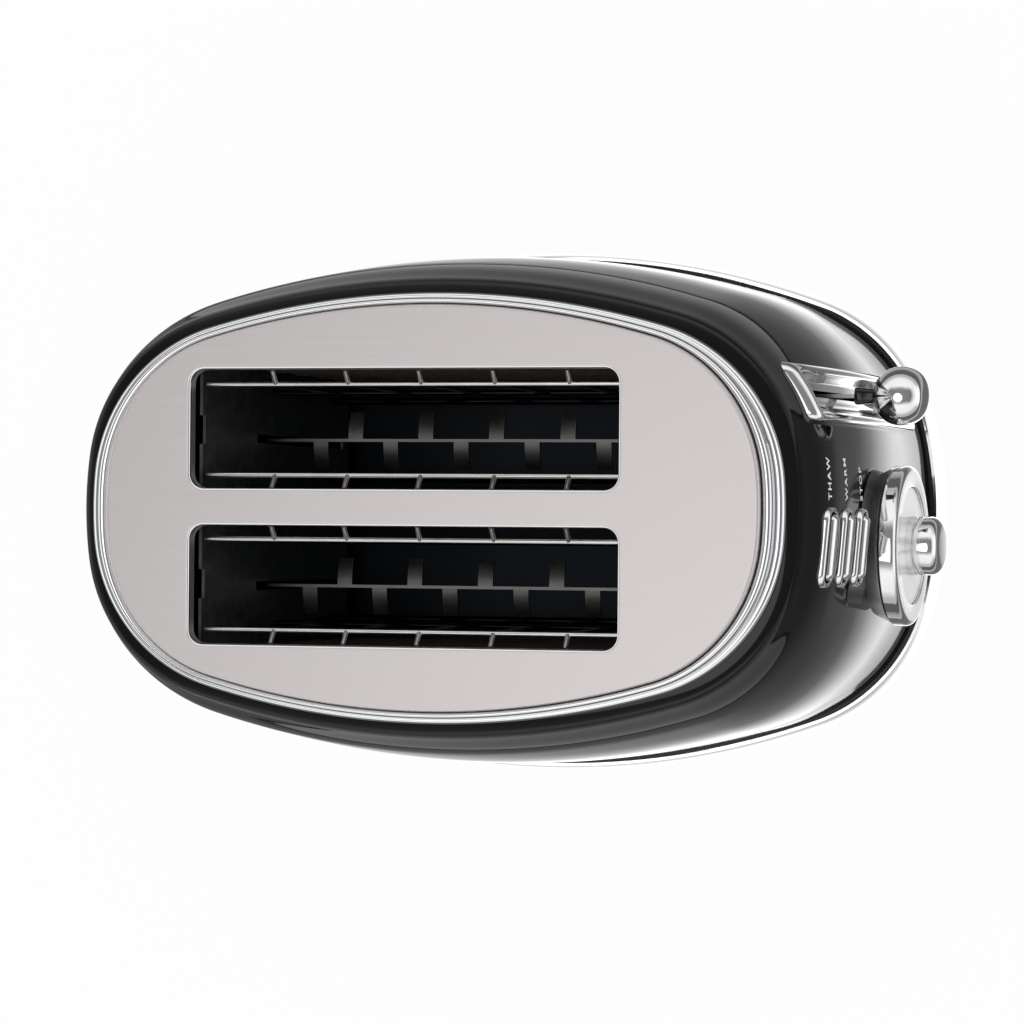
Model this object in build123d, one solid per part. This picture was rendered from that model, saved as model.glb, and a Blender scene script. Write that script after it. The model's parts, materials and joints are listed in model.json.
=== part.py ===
from build123d import *
import os
from math import atan2, cos, hypot, pi, radians, sin, sqrt

# Two-slice toaster, millimetres, +Z up, +X towards the end with the controls.
# The model is laid out from the middle of the top plate and is moved at export,
# so that the origin lies under the middle of the whole object's box.

# Heights of the main levels
plate_top = 192.0
trim_height = 10.0
foot_height = 6.0
skirt_height = 20.0
floor_thickness = 2.5

# Top trim oval: room round the slots, and the radii of its side, corner and end arcs
trim_end_room = 43.9
trim_side_room = 24.7
trim_side_radius = 267.0
trim_corner_radius = 54.6
trim_end_radius = 130.0

# Body oval at the level where the flare is zero: its step out from the trim, and its radii
body_end_step = 16.1
body_side_step = 16.3
body_side_radius = 290.0
body_corner_radius = 66.0
body_end_radius = 140.0

# Base oval, at the widest line of the skirt: its step out from the body, and its radii
base_end_step = 9.7
base_side_step = 8.3
base_side_radius = 280.0
base_corner_radius = 62.0
base_end_radius = 135.0

# Flare of the body wall: share of its height, and offset from the body oval
body_flare = [(0.0, 3.8), (0.295, 2.4), (0.55, 0.0), (0.775, -4.0), (0.91, -7.8), (0.975, -11.3)]
shoulder_flare = -14.0
shell_wall = 1.6
shell_flange = 9.0
wall_cut_depth = 32.0
body_block_share = 0.75

# Skirt and base pan
skirt_wall = 1.0
skirt_bulge = 1.8
pan_wall = 2.5
pan_ledge = 3.0
pan_clearance = 0.2

# Top plate and trim ring
plate_thickness = 1.2
plate_inset = 5.6
plate_edge_radius = 2.5
trim_gap = 0.25
inner_bead_radius = 1.9
outer_bead_radius = 2.3
bead_drop = 2.2

# Bread slots
slot_length = 141.0
slot_width = 38.0
slot_bridge = 12.0
slot_shift = -8.0
slot_corner = 4.6
collar_wall = 0.8
collar_depth = 5.0

# Toasting chamber
sheet_thickness = 1.0
chamber_side_room = 14.0
chamber_top_drop = 12.0
front_sheet_gap = 0.5
reflector_inset = 4.0
reflector_thickness = 0.8
chamber_floor = 22.0
rear_notch_width = 9.4
rear_notch_depth = 3.0
foot_flange_length = 10.0
foot_flange_width = 7.0
foot_flange_thickness = 1.5

# Heating cards and their ribbons
card_room = 2.5
card_thickness = 0.8
card_bottom = 46.0
card_top_drop = 26.0
ribbon_width = 2.0
ribbon_thickness = 0.4
ribbon_rows = 10
ribbon_margin = 6.0

# Bread guides
guide_wire = 1.8
guide_rod = 2.6
guide_pivot_height = 44.0
guide_pivot_inset = 5.0
guide_rail_inset = 4.3
guide_rail_drop = 12.0
guide_flare = 4.4
guide_flare_rise = 4.0
guide_wires = 5
guide_wire_pitch = 24.4
guide_wire_shift = 3.3
guide_mid_share = 0.5
guide_fit = 0.08
guide_collar = 1.4

# Bread racks
rack_lever_drop = 29.0
rack_strip = 8.0
rack_thickness = 1.0
rack_offset = -1.5
rack_tab_width = 5.2
rack_tab_room = 9.3
rack_tab_droop = 2.5
rack_tab_pitch = 25.0
rack_left_shift = 0.9
rack_right_shift = -2.6
rack_tabs = 5
rack_tail = 3.0
rack_slot_play = 1.0

# Lever, its travel and the carriage
lever_side = 37.5
lever_top_drop = 65.0
lever_lowest = 65.0
lever_lift = 22.0
knob_radius = 9.6
knob_reach = 19.4
knob_flat = 8.8
neck_width = 5.7
neck_depth = 7.0
neck_outside = 4.3
neck_into_knob = 5.0
neck_edge = 0.9
arm_thickness = 1.2
arm_depth = 5.0
arm_into_neck = 6.0
lever_slot_play = 0.5
lever_slot_spare = 4.0
lever_slot_extra = 8.0
carriage_gap = 4.0
carriage_thickness = 1.2
carriage_rack_drop = 10.0
carriage_overlap = 4.0
carriage_margin = 8.0

# Guide rod, bush and return spring
rod_radius = 3.0
rod_distance = 16.0
rod_fit = 0.05
rod_top_drop = 20.0
rod_bracket_thickness = 2.0
rod_bracket_tab = 6.0
bush_radius = 6.0
bush_length = 24.0
bush_rack_rise = 2.0
shelf_thickness = 2.0
shelf_rim = 2.0
shelf_rack_rise = 10.0
spring_side = 16.0
spring_radius = 3.6
spring_wire = 0.9
spring_turns = 16
spring_end_gap = 0.1

# Holding magnet, armature and mains switch
magnet_side = -22.0
magnet_width = 16.0
magnet_depth = 14.0
magnet_distance = 8.0
magnet_leg = 4.0
magnet_coil_gap = 0.2
armature_thickness = 3.0
armature_gap = 0.3
switch_side = 22.0
switch_width = 14.0
switch_depth = 16.0
switch_height = 15.0

# Lever bezel
bezel_width = 18.8
bezel_proud = 3.6
bezel_floor = 0.8
bezel_sink = 3.2
bezel_fit = 0.05
bezel_rim = 2.4
bezel_head_room = 20.0
bezel_foot_room = 21.0

# Push buttons and their rims
button_side = -11.5
button_top_drop = 20.0
button_pitch = 16.5
button_rim_length = 25.6
button_rim_height = 9.0
button_rim_wall = 1.7
button_rim_proud = 1.6
button_proud = 3.0
button_play = 0.3
button_travel = 2.0
button_inside = 6.0
button_stem_radius = 1.6
button_stem_gap = 0.3

# Browning dial
dial_side = -10.9
dial_button_gap = 1.9
dial_tilt = 4.0
dial_radius = 26.6
dial_rim = 6.1
dial_rim_edge = 1.2
dial_bezel_radius = 25.8
dial_bezel_proud = 3.2
dial_bezel_depth = 12.6
dial_bezel_root = 5.0
dial_gap = 0.3
dial_face_radius = 19.6
dial_face_depth = 1.6
dial_inlay_thickness = 0.8
grip_radius = 9.7
grip_length = 10.8
grip_edge = 4.0
grip_socket = 7.0
shaft_radius = 3.0
shaft_fit = 0.05
shaft_inside = 14.0

# Control board
board_distance = 44.0
board_thickness = 1.6
board_left = -44.0
board_right = 22.0
board_top_drop = 24.0
board_post_width = 6.0
board_post_height = 16.0
board_post_wall = 2.0
potentiometer_radius = 8.5
potentiometer_gap = 7.0
switch_body = 6.0
switch_body_depth = 4.5

# Crumb tray
tray_side_gap = 8.0
tray_height = 10.0
tray_wall = 1.0
tray_sheet_gap = 5.0
tray_play = 0.4
tray_lift = 0.3
tray_pull_reach = 4.0
tray_pull_half_width = 18.0
tray_pull_height = 4.0
tray_pull_edge = 1.0

# Feet, screws, mains lead gland and terminal block
foot_radius = 9.0
foot_edge = 1.5
foot_end_inset = 36.2
foot_side_inset = 47.3
screw_radius = 1.5
screw_head_radius = 3.4
screw_head = 2.0
screw_length = 10.0
screw_fit = 0.1
gland_side = 6.0
gland_height = 46.0
gland_radius = 6.0
gland_flange_radius = 8.5
gland_flange = 2.0
gland_proud = 4.5
gland_inside = 9.0
gland_bore = 3.6
gland_fit = 0.1
terminal_side = 42.0
terminal_height = 70.0
terminal_width = 22.0
terminal_depth = 10.0
terminal_size = 14.0

# Levels and places that follow from the sizes above
floor_top = foot_height + floor_thickness
shell_bottom = foot_height + skirt_height
shell_top = plate_top - trim_height
shell_height = shell_top - shell_bottom
slot_rear = slot_shift - slot_length / 2
slot_front = slot_shift + slot_length / 2
slot_pitch = slot_width + slot_bridge
slots_half_width = slot_pitch / 2 + slot_width / 2
trim_half_length = slot_length / 2 + trim_end_room
trim_half_width = slots_half_width + trim_side_room
body_half_length = trim_half_length + body_end_step
body_half_width = trim_half_width + body_side_step
base_half_length = body_half_length + base_end_step
base_half_width = body_half_width + base_side_step
chamber_half_width = slots_half_width + chamber_side_room
reflector_offset = chamber_half_width - reflector_inset
card_offset = slot_width / 2 + card_room
guide_pivot_offset = slot_width / 2 - guide_pivot_inset
guide_rail_offset = slot_width / 2 - guide_rail_inset
rack_tab_reach = slot_width / 2 - rack_tab_room
lever_height = plate_top - lever_top_drop
lever_drop = lever_height - lever_lowest
rack_height = lever_height - rack_lever_drop
carriage_low = rack_height - carriage_rack_drop
bush_bottom = rack_height + bush_rack_rise
shelf_level = rack_height + shelf_rack_rise
rod_top = plate_top - rod_top_drop
card_top = plate_top - card_top_drop
board_top = plate_top - board_top_drop
bezel_top = lever_height + lever_lift + bezel_head_room
bezel_bottom = lever_height - lever_drop - bezel_foot_room
tray_half_width = chamber_half_width - tray_side_gap
foot_x = base_half_length - foot_end_inset
foot_y = base_half_width - foot_side_inset
chamber_top = plate_top - chamber_top_drop
rear_sheet_x = slot_rear - sheet_thickness
front_sheet_x = slot_front + front_sheet_gap
tray_front_end = front_sheet_x - tray_sheet_gap
carriage_x = front_sheet_x + sheet_thickness + carriage_gap
carriage_face = carriage_x + carriage_thickness
rod_x = front_sheet_x + rod_distance
board_x = front_sheet_x + board_distance
board_face = board_x + board_thickness
board_bottom = floor_top
trim_oval = (trim_half_length, trim_half_width, trim_side_radius, trim_corner_radius, trim_end_radius)
body_oval = (body_half_length, body_half_width, body_side_radius, body_corner_radius, body_end_radius)
base_oval = (base_half_length, base_half_width, base_side_radius, base_corner_radius, base_end_radius)
slot_sides = (slot_pitch / 2, -slot_pitch / 2)
button_names = ("defrost", "reheat", "cancel")
button_top_height = shell_top - button_top_drop
button_heights = {name: button_top_height - i * button_pitch for i, name in enumerate(button_names)}
dial_height = button_heights["cancel"] - button_rim_height / 2 - dial_button_gap - dial_radius


def block(x0, x1, y0, y1, z0, z1):
    """A box between two corners."""
    middle = ((x0 + x1) / 2, (y0 + y1) / 2, (z0 + z1) / 2)
    return Pos(*middle) * Box(x1 - x0, y1 - y0, z1 - z0)


def post(x, y, z0, z1, radius):
    """An upright cylinder."""
    return Pos(x, y, (z0 + z1) / 2) * Cylinder(radius, z1 - z0)


def bar(x0, x1, y, z, radius):
    """A cylinder along X."""
    return Pos((x0 + x1) / 2, y, z) * Rot(0, 90, 0) * Cylinder(radius, x1 - x0)


def oval_centres(oval):
    """Centres of the side, end and corner arcs of the oval's first quarter."""
    half_length, half_width, side_radius, corner_radius, end_radius = oval
    side_y = half_width - side_radius
    end_x = half_length - end_radius
    from_side = side_radius - corner_radius
    from_end = end_radius - corner_radius
    gap = hypot(end_x, side_y)
    along = (from_side**2 - from_end**2 + gap**2) / (2 * gap)
    aside = sqrt(from_side**2 - along**2)
    across_x = end_x / gap
    across_y = -side_y / gap
    corner_x = along * across_x + aside * across_y
    corner_y = side_y + along * across_y - aside * across_x
    return side_y, end_x, corner_x, corner_y


def oval_wire(oval, grow=0.0):
    """A closed oval of tangent arcs, which starts in the middle of one side."""
    side_y, end_x, corner_x, corner_y = oval_centres(oval)
    side_radius, corner_radius, end_radius = (radius + grow for radius in oval[2:])
    side_turn = atan2(corner_y - side_y, corner_x)
    end_turn = atan2(corner_y, corner_x - end_x)

    def point(x, y, radius, turn, flip_x=1, flip_y=1):
        return (flip_x * (x + radius * cos(turn)), flip_y * (y + radius * sin(turn)), 0)

    def side(turn, *flips):
        return point(0, side_y, side_radius, turn, *flips)

    def corner(turn, *flips):
        return point(corner_x, corner_y, corner_radius, turn, *flips)

    def end(turn, *flips):
        return point(end_x, 0, end_radius, turn, *flips)

    half_side = (pi / 2 + side_turn) / 2
    half_corner = (side_turn + end_turn) / 2
    arcs = [
        (side(pi / 2), side(half_side), side(side_turn)),
        (side(side_turn), corner(half_corner), end(end_turn)),
        (end(end_turn), end(0), end(end_turn, 1, -1)),
        (end(end_turn, 1, -1), corner(half_corner, 1, -1), side(side_turn, 1, -1)),
        (side(side_turn, 1, -1), side(pi / 2, 1, -1), side(side_turn, -1, -1)),
        (side(side_turn, -1, -1), corner(half_corner, -1, -1), end(end_turn, -1, -1)),
        (end(end_turn, -1, -1), end(0, -1, 1), end(end_turn, -1, 1)),
        (end(end_turn, -1, 1), corner(half_corner, -1, 1), side(side_turn, -1, 1)),
        (side(side_turn, -1, 1), side(half_side, -1, 1), side(pi / 2)),
    ]
    return Wire([Edge.make_three_point_arc(*arc) for arc in arcs])


def oval_slab(oval, grow, z0, z1):
    """A flat slab with an oval outline."""
    return Pos(0, 0, z0) * extrude(Face(oval_wire(oval, grow)), z1 - z0, dir=(0, 0, 1))


def oval_ring(oval, profile):
    """Sweep a profile of (offset, height) round an oval."""
    placed = Plane.YZ * Pos(oval[1], 0) * profile
    return sweep(placed, path=oval_wire(oval))


def polygon(*points):
    """A face through corner points."""
    return make_face(Polyline(*points, close=True).edges())


# Outline of the body wall: a spline up to the shoulder, then the flat top flange.
def wall_points(out):
    """Points of the wall outline, moved along its normals by out."""
    raw = [(flare, shell_bottom + share * shell_height) for share, flare in body_flare]
    raw.append((shoulder_flare, shell_top))
    moved = []
    for i, (flare, z) in enumerate(raw):
        before = raw[max(i - 1, 0)]
        after = raw[min(i + 1, len(raw) - 1)]
        run = hypot(after[0] - before[0], after[1] - before[1])
        normal_x = (after[1] - before[1]) / run
        normal_z = -(after[0] - before[0]) / run
        if i == 0:
            normal_x, normal_z = 1.0, 0.0
        if i == len(raw) - 1:
            normal_x, normal_z = 0.0, 1.0
        moved.append((flare + out * normal_x, z + out * normal_z))
    return moved


def wall_curve(out):
    """The wall outline as one spline that ends level at the shoulder."""
    points = wall_points(out)
    start = (points[1][0] - points[0][0], points[1][1] - points[0][1])
    return Spline(*points, tangents=[(start[0], start[1], 0), (-1, 0, 0)])


def wall_band(inner, outer):
    """Face between two parallel wall outlines, from the foot to the shoulder."""
    inside = wall_curve(inner)
    outside = wall_curve(outer)
    foot = Line(inside @ 0, outside @ 0)
    head = Line(outside @ 1, inside @ 1)
    return make_face([foot, outside, head, inside])


def flare_at(z):
    """Offset of the outer wall from the body oval at a height."""
    curve = wall_curve(0)
    steps = 200
    points = [curve @ (i / steps) for i in range(steps + 1)]
    for low, high in zip(points, points[1:]):
        if low.Y <= z <= high.Y:
            return low.X + (high.X - low.X) * (z - low.Y) / (high.Y - low.Y)
    return points[0].X


def wall_x(y, z):
    """X of the front wall's outer face at a side place and a height."""
    side_y, end_x, corner_x, corner_y = oval_centres(body_oval)
    flare = flare_at(z)
    end_turn = atan2(corner_y, corner_x - end_x)
    if abs(y) <= (body_end_radius + flare) * sin(end_turn):
        return end_x + sqrt((body_end_radius + flare) ** 2 - y**2)
    return corner_x + sqrt((body_corner_radius + flare) ** 2 - (abs(y) - corner_y) ** 2)


def pill(length, height, x0, x1, y, z):
    """A bar along X with a pill-shaped section that lies along Y."""
    section = Plane.YZ * Pos(y, z) * SlotOverall(length, height)
    return Pos(x0, 0, 0) * extrude(section, x1 - x0)


def body_block():
    """The body filled from its outer face to well inside the wall."""
    depth = body_corner_radius * body_block_share
    outside = wall_curve(0)
    foot = Line((-depth, shell_bottom), outside @ 0)
    head = Line(outside @ 1, (-depth, shell_top))
    back = Line((-depth, shell_top), (-depth, shell_bottom))
    return oval_ring(body_oval, make_face([foot, outside, head, back]))


# Outward reach of the part, which sets where its origin lies
dial_wall_x = wall_x(dial_side, dial_height)
dial_plane = Plane(
    origin=(dial_wall_x, dial_side, dial_height),
    x_dir=(0, 1, 0),
    z_dir=(cos(radians(dial_tilt)), 0, sin(radians(dial_tilt))),
)
dial_back = dial_bezel_proud + dial_gap
dial_front = dial_back + dial_rim
grip_start = dial_front - dial_face_depth + dial_inlay_thickness
grip_tip = grip_start + grip_length
grip_side_reach = (grip_radius - grip_edge) * sin(radians(dial_tilt))
front_reach = dial_wall_x + (grip_tip - grip_edge) * cos(radians(dial_tilt)) + grip_side_reach + grip_edge
rear_reach = base_half_length + tray_pull_reach
frame_shift = (rear_reach - front_reach) / 2

os.makedirs("parts", exist_ok=True)


def keep(node, shape):
    """Write one node, each of its solids moved into the part's own frame."""
    moved = [Pos(frame_shift, 0, 0) * solid for solid in shape.solids()]
    export_step(moved[0] if len(moved) == 1 else Compound(moved), f"parts/{node}.step")


# Body shell: a drawn sheet shell with a flat flange that carries the top plate
body = body_block()
shell_profile = wall_band(-shell_wall, 0)
flange_profile = polygon(
    (shoulder_flare - shell_flange, shell_top - shell_wall),
    (shoulder_flare, shell_top - shell_wall),
    (shoulder_flare, shell_top),
    (shoulder_flare - shell_flange, shell_top),
)
shell = oval_ring(body_oval, shell_profile + flange_profile)

lever_slot_low = lever_height - lever_drop - arm_depth / 2 - lever_slot_spare
lever_slot_high = lever_height + lever_lift + arm_depth / 2 + lever_slot_extra
lever_slot_half = arm_thickness / 2 + lever_slot_play
wall_inside = wall_x(lever_side, bezel_top) - wall_cut_depth
wall_outside = base_half_length + knob_radius
lever_slot = block(
    wall_inside, wall_outside,
    lever_side - lever_slot_half, lever_side + lever_slot_half,
    lever_slot_low, lever_slot_high,
)


def bezel_block(inset):
    """A block through the front wall, as large as the lever bezel less an inset all round."""
    half_width = bezel_width / 2 - inset
    return block(
        wall_inside, wall_outside, lever_side - half_width, lever_side + half_width,
        bezel_bottom + inset, bezel_top - inset,
    )


bezel_window = bezel_block(bezel_rim - bezel_floor - bezel_fit)
rim_hole_length = button_rim_length - 2 * button_rim_wall
rim_hole_height = button_rim_height - 2 * button_rim_wall
button_length = rim_hole_length - 2 * button_play
button_height = rim_hole_height - 2 * button_play
button_holes = [
    pill(rim_hole_length, rim_hole_height, wall_inside, wall_outside, button_side, z)
    for z in button_heights.values()
]
shaft_hole = dial_plane * Pos(0, 0, -shaft_inside) * Cylinder(
    shaft_radius + shaft_fit, 2 * shaft_inside, align=(Align.CENTER, Align.CENTER, Align.MIN)
)
gland_wall_x = -wall_x(gland_side, gland_height)
gland_hole = bar(
    gland_wall_x - wall_cut_depth / 2, gland_wall_x + wall_cut_depth / 2,
    gland_side, gland_height, gland_radius + gland_fit,
)
shell = shell - bezel_window - shaft_hole - gland_hole
for hole in button_holes:
    shell = shell - hole
keep("body_shell", shell)

# Top plate: satin sheet with a turned-down edge and a collar round each slot
plate_grow = -plate_inset
plate_flat = plate_grow - plate_edge_radius
plate_bend = plate_edge_radius - plate_thickness
plate_turn = plate_top - plate_edge_radius
outer_bend = CenterArc((plate_flat, plate_turn), plate_edge_radius, 0, 90)
inner_bend = CenterArc((plate_flat, plate_turn), plate_bend, 0, 90)
plate_edge = make_face(
    [
        Line((plate_grow, shell_top), outer_bend @ 0),
        outer_bend,
        Line(outer_bend @ 1, inner_bend @ 1),
        inner_bend,
        Line(inner_bend @ 0, (plate_grow - plate_thickness, shell_top)),
        Line((plate_grow - plate_thickness, shell_top), (plate_grow, shell_top)),
    ]
)
plate = oval_slab(trim_oval, plate_flat, plate_top - plate_thickness, plate_top)
plate = plate + oval_ring(trim_oval, plate_edge)


def slot_prism(side, grow, z0, z1):
    """The space of one bread slot, made wider by grow."""
    outline = RectangleRounded(slot_length + 2 * grow, slot_width + 2 * grow, slot_corner + grow)
    return Pos(slot_shift, side, z0) * extrude(outline, z1 - z0)


for side in slot_sides:
    collar = slot_prism(side, collar_wall, plate_top - collar_depth, plate_top - plate_thickness)
    plate = plate + collar
for side in slot_sides:
    plate = plate - slot_prism(side, 0, plate_top - 2 * collar_depth, plate_top + collar_depth)
keep("top_plate", plate)

# Top trim: a chromed ring of two beads that stands on the shell's flange
trim_inner = plate_grow + trim_gap
trim_profile = polygon(
    (trim_inner, shell_top),
    (-outer_bead_radius / 2, shell_top),
    (-outer_bead_radius / 2, shell_top + outer_bead_radius),
    (trim_inner + 2 * inner_bead_radius, plate_top - bead_drop - 2 * inner_bead_radius),
    (trim_inner + inner_bead_radius, plate_top - bead_drop - inner_bead_radius),
    (trim_inner, plate_top - bead_drop - inner_bead_radius),
)
inner_bead = Pos(trim_inner + inner_bead_radius, plate_top - bead_drop - inner_bead_radius)
outer_bead = Pos(-outer_bead_radius, shell_top + outer_bead_radius)
trim_profile = trim_profile + inner_bead * Circle(inner_bead_radius)
trim_profile = trim_profile + outer_bead * Circle(outer_bead_radius)
keep("top_trim_ring", oval_ring(trim_oval, trim_profile))

# Base skirt: a bright band with a bowed face, open at the rear for the crumb tray
skirt_top = shell_bottom
skirt_low = foot_height - floor_thickness / 2
skirt_middle = (skirt_top + skirt_low) / 2
skirt_bow = ThreePointArc((-skirt_bulge, skirt_low), (0, skirt_middle), (-skirt_bulge, skirt_top))
skirt_inner = -skirt_bulge - skirt_wall
skirt_profile = make_face(
    [
        skirt_bow,
        Line((-skirt_bulge, skirt_top), (skirt_inner, skirt_top)),
        Line((skirt_inner, skirt_top), (skirt_inner, skirt_low)),
        Line((skirt_inner, skirt_low), (-skirt_bulge, skirt_low)),
    ]
)
skirt = oval_ring(base_oval, skirt_profile)
tray_low = floor_top + tray_lift
tray_high = tray_low + tray_height
window_half = tray_half_width + 2 * tray_play
window = block(
    -2 * base_half_length, -base_half_length / 2,
    -window_half, window_half, floor_top, tray_high + tray_play,
)
keep("base_skirt", skirt - window)

# Base pan: floor, rim wall and the ledge that the shell stands on
pan_outer = skirt_inner - pan_clearance
pan_inner = pan_outer - pan_wall
shell_foot = body_flare[0][1]
ledge_inner = body_half_length + shell_foot - 2 * shell_wall - base_half_length
pan = oval_slab(base_oval, pan_outer, foot_height, floor_top)
pan_profile = polygon(
    (pan_inner, foot_height),
    (pan_outer, foot_height),
    (pan_outer, shell_bottom),
    (ledge_inner - pan_ledge, shell_bottom),
    (ledge_inner - pan_ledge, shell_bottom - pan_ledge),
    (pan_inner, shell_bottom - pan_ledge),
)
pan = pan + oval_ring(base_oval, pan_profile) - window
board_sides = (board_left + board_post_width, board_right - board_post_width)
for y in board_sides:
    post_block = block(
        board_x - board_post_wall, board_face + board_post_wall,
        y - board_post_width / 2, y + board_post_width / 2,
        floor_top, floor_top + board_post_height,
    )
    board_slot = block(
        board_x, board_face, y - board_post_width, y + board_post_width,
        floor_top, floor_top + 2 * board_post_height,
    )
    pan = pan + (post_block - board_slot)
flange_mid = chamber_half_width - foot_flange_width / 2
screw_places = [
    (x, y)
    for x in (rear_sheet_x - foot_flange_length / 2, front_sheet_x - foot_flange_length / 2)
    for y in (flange_mid, -flange_mid)
]
for x, y in screw_places:
    pan = pan - post(x, y, 0, shell_bottom, screw_radius + screw_fit)
keep("base_pan", pan)

# Rubber feet, with a rounded lower edge
feet = []
for x in (foot_x, -foot_x):
    for y in (foot_y, -foot_y):
        foot = post(x, y, 0, foot_height, foot_radius)
        feet.append(fillet(foot.edges().group_by(Axis.Z)[0], foot_edge))
keep("rubber_feet", Compound(feet))

# Screws that hold the chamber's end sheets to the pan
screws = []
for x, y in screw_places:
    head = post(x, y, foot_height - screw_head, foot_height, screw_head_radius)
    driver = post(x, y, foot_height - screw_head, foot_height - screw_head / 2, screw_head_radius / 3)
    screws.append(head + post(x, y, foot_height, foot_height + screw_length, screw_radius) - driver)
keep("base_screws", Compound(screws))


# Chamber end sheets, with slots for the racks and holes for the guide rods
rack_low_end = rack_height - rack_strip / 2 - lever_drop - rack_slot_play - rack_tab_droop
rack_high_end = rack_height + rack_strip / 2 + lever_lift + rack_slot_play
rack_sides = [side + rack_offset for side in slot_sides]
guide_sides = [side + hand * guide_pivot_offset for side in slot_sides for hand in (1, -1)]


def end_sheet(x):
    """One end sheet with foot flanges, seen standing on the pan floor."""
    sheet = block(
        x, x + sheet_thickness, -chamber_half_width, chamber_half_width, floor_top, chamber_top
    )
    for hand in (1, -1):
        inner = hand * (chamber_half_width - foot_flange_width)
        outer = hand * chamber_half_width
        sheet = sheet + block(
            x - foot_flange_length, x + sheet_thickness,
            min(inner, outer), max(inner, outer),
            floor_top, floor_top + foot_flange_thickness,
        )
    for y in rack_sides:
        half = rack_thickness / 2 + rack_slot_play
        sheet = sheet - block(
            x - carriage_gap / 2, x + carriage_gap, y - half, y + half, rack_low_end, rack_high_end
        )
    for y in guide_sides:
        sheet = sheet - bar(
            x - carriage_gap / 2, x + carriage_gap, y, guide_pivot_height, guide_rod / 2 + guide_fit
        )
    for x_screw, y_screw in screw_places:
        sheet = sheet - post(x_screw, y_screw, 0, shell_bottom, screw_radius + screw_fit)
    return sheet


tray_passage = block(
    2 * rear_sheet_x, slot_shift,
    -chamber_half_width + foot_flange_width, chamber_half_width - foot_flange_width,
    0, chamber_floor,
)
rear_sheet = end_sheet(rear_sheet_x) - tray_passage
for side in slot_sides:
    rear_sheet = rear_sheet - block(
        2 * rear_sheet_x, slot_rear + sheet_thickness,
        side - rear_notch_width / 2, side + rear_notch_width / 2,
        chamber_top - rear_notch_depth, plate_top,
    )
keep("rear_end_sheet", rear_sheet)
front_sheet = end_sheet(front_sheet_x)
keep("front_end_sheet", front_sheet)

# Side reflectors between the end sheets
chamber_rear = rear_sheet_x + sheet_thickness
for name, hand in (("left", 1), ("right", -1)):
    near = hand * reflector_offset
    far = hand * (reflector_offset + reflector_thickness)
    keep(
        f"reflector_{name}",
        block(
            chamber_rear, front_sheet_x, min(near, far), max(near, far), chamber_floor, chamber_top
        ),
    )

# Heating cards, each with one flat ribbon that winds up its bread side
card_places = {
    "outer_left": (slot_sides[0] + card_offset, -1),
    "inner_left": (slot_sides[0] - card_offset, 1),
    "inner_right": (slot_sides[1] + card_offset, -1),
    "outer_right": (slot_sides[1] - card_offset, 1),
}
ribbon_rear = chamber_rear + ribbon_margin
ribbon_front = front_sheet_x - ribbon_margin
ribbon_rise = (card_top - card_bottom - 2 * ribbon_margin) / (ribbon_rows - 1)
for name, (y, facing) in card_places.items():
    card = block(
        chamber_rear, front_sheet_x,
        y - card_thickness / 2, y + card_thickness / 2, card_bottom, card_top,
    )
    keep(f"heating_card_{name}", card)
    near = y + facing * card_thickness / 2
    far = near + facing * ribbon_thickness
    low_y, high_y = min(near, far), max(near, far)
    ribbon = None
    for row in range(ribbon_rows):
        z = card_bottom + ribbon_margin + row * ribbon_rise
        piece = block(ribbon_rear, ribbon_front, low_y, high_y, z, z + ribbon_width)
        if row < ribbon_rows - 1:
            x = ribbon_front if row % 2 == 0 else ribbon_rear + ribbon_width
            piece = piece + block(
                x - ribbon_width, x, low_y, high_y, z, z + ribbon_rise + ribbon_width
            )
        ribbon = piece if ribbon is None else ribbon + piece
    keep(f"heating_ribbon_{name}", ribbon)

# Bread guides: upright wires welded to two rails, hinged on a rod near the floor
rail_height = plate_top - guide_rail_drop
wire_first = slot_shift + guide_wire_shift - guide_wire_pitch * (guide_wires - 1) / 2
rail_rear = slot_rear + guide_collar
rail_front = slot_front - guide_collar
mid_height = guide_pivot_height + guide_mid_share * (rail_height - guide_pivot_height)
mid_offset = guide_pivot_offset + guide_mid_share * (guide_rail_offset - guide_pivot_offset)
guide_names = ("left_outer", "left_inner", "right_inner", "right_outer")
guide_hands = ((slot_sides[0], 1), (slot_sides[0], -1), (slot_sides[1], 1), (slot_sides[1], -1))
for name, (side, hand) in zip(guide_names, guide_hands):
    pivot_y = side + hand * guide_pivot_offset
    rail_y = side + hand * guide_rail_offset
    flare_y = side + hand * (guide_rail_offset + guide_flare)
    guide = bar(
        rear_sheet_x, front_sheet_x + sheet_thickness, pivot_y, guide_pivot_height, guide_rod / 2
    )
    guide = guide + bar(rail_rear, rail_front, rail_y, rail_height, guide_wire / 2)
    mid_y = side + hand * mid_offset
    guide = guide + bar(rail_rear, rail_front, mid_y, mid_height, guide_wire / 2)
    for i in range(guide_wires):
        x = wire_first + i * guide_wire_pitch
        path = FilletPolyline(
            (x, pivot_y, guide_pivot_height),
            (x, rail_y, rail_height),
            (x, flare_y, rail_height + guide_flare_rise),
            radius=guide_wire,
        )
        section = Plane(path @ 0, z_dir=path % 0) * Circle(guide_wire / 2)
        guide = guide + sweep(section, path=path)
    keep(f"bread_guide_{name}", guide)

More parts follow.
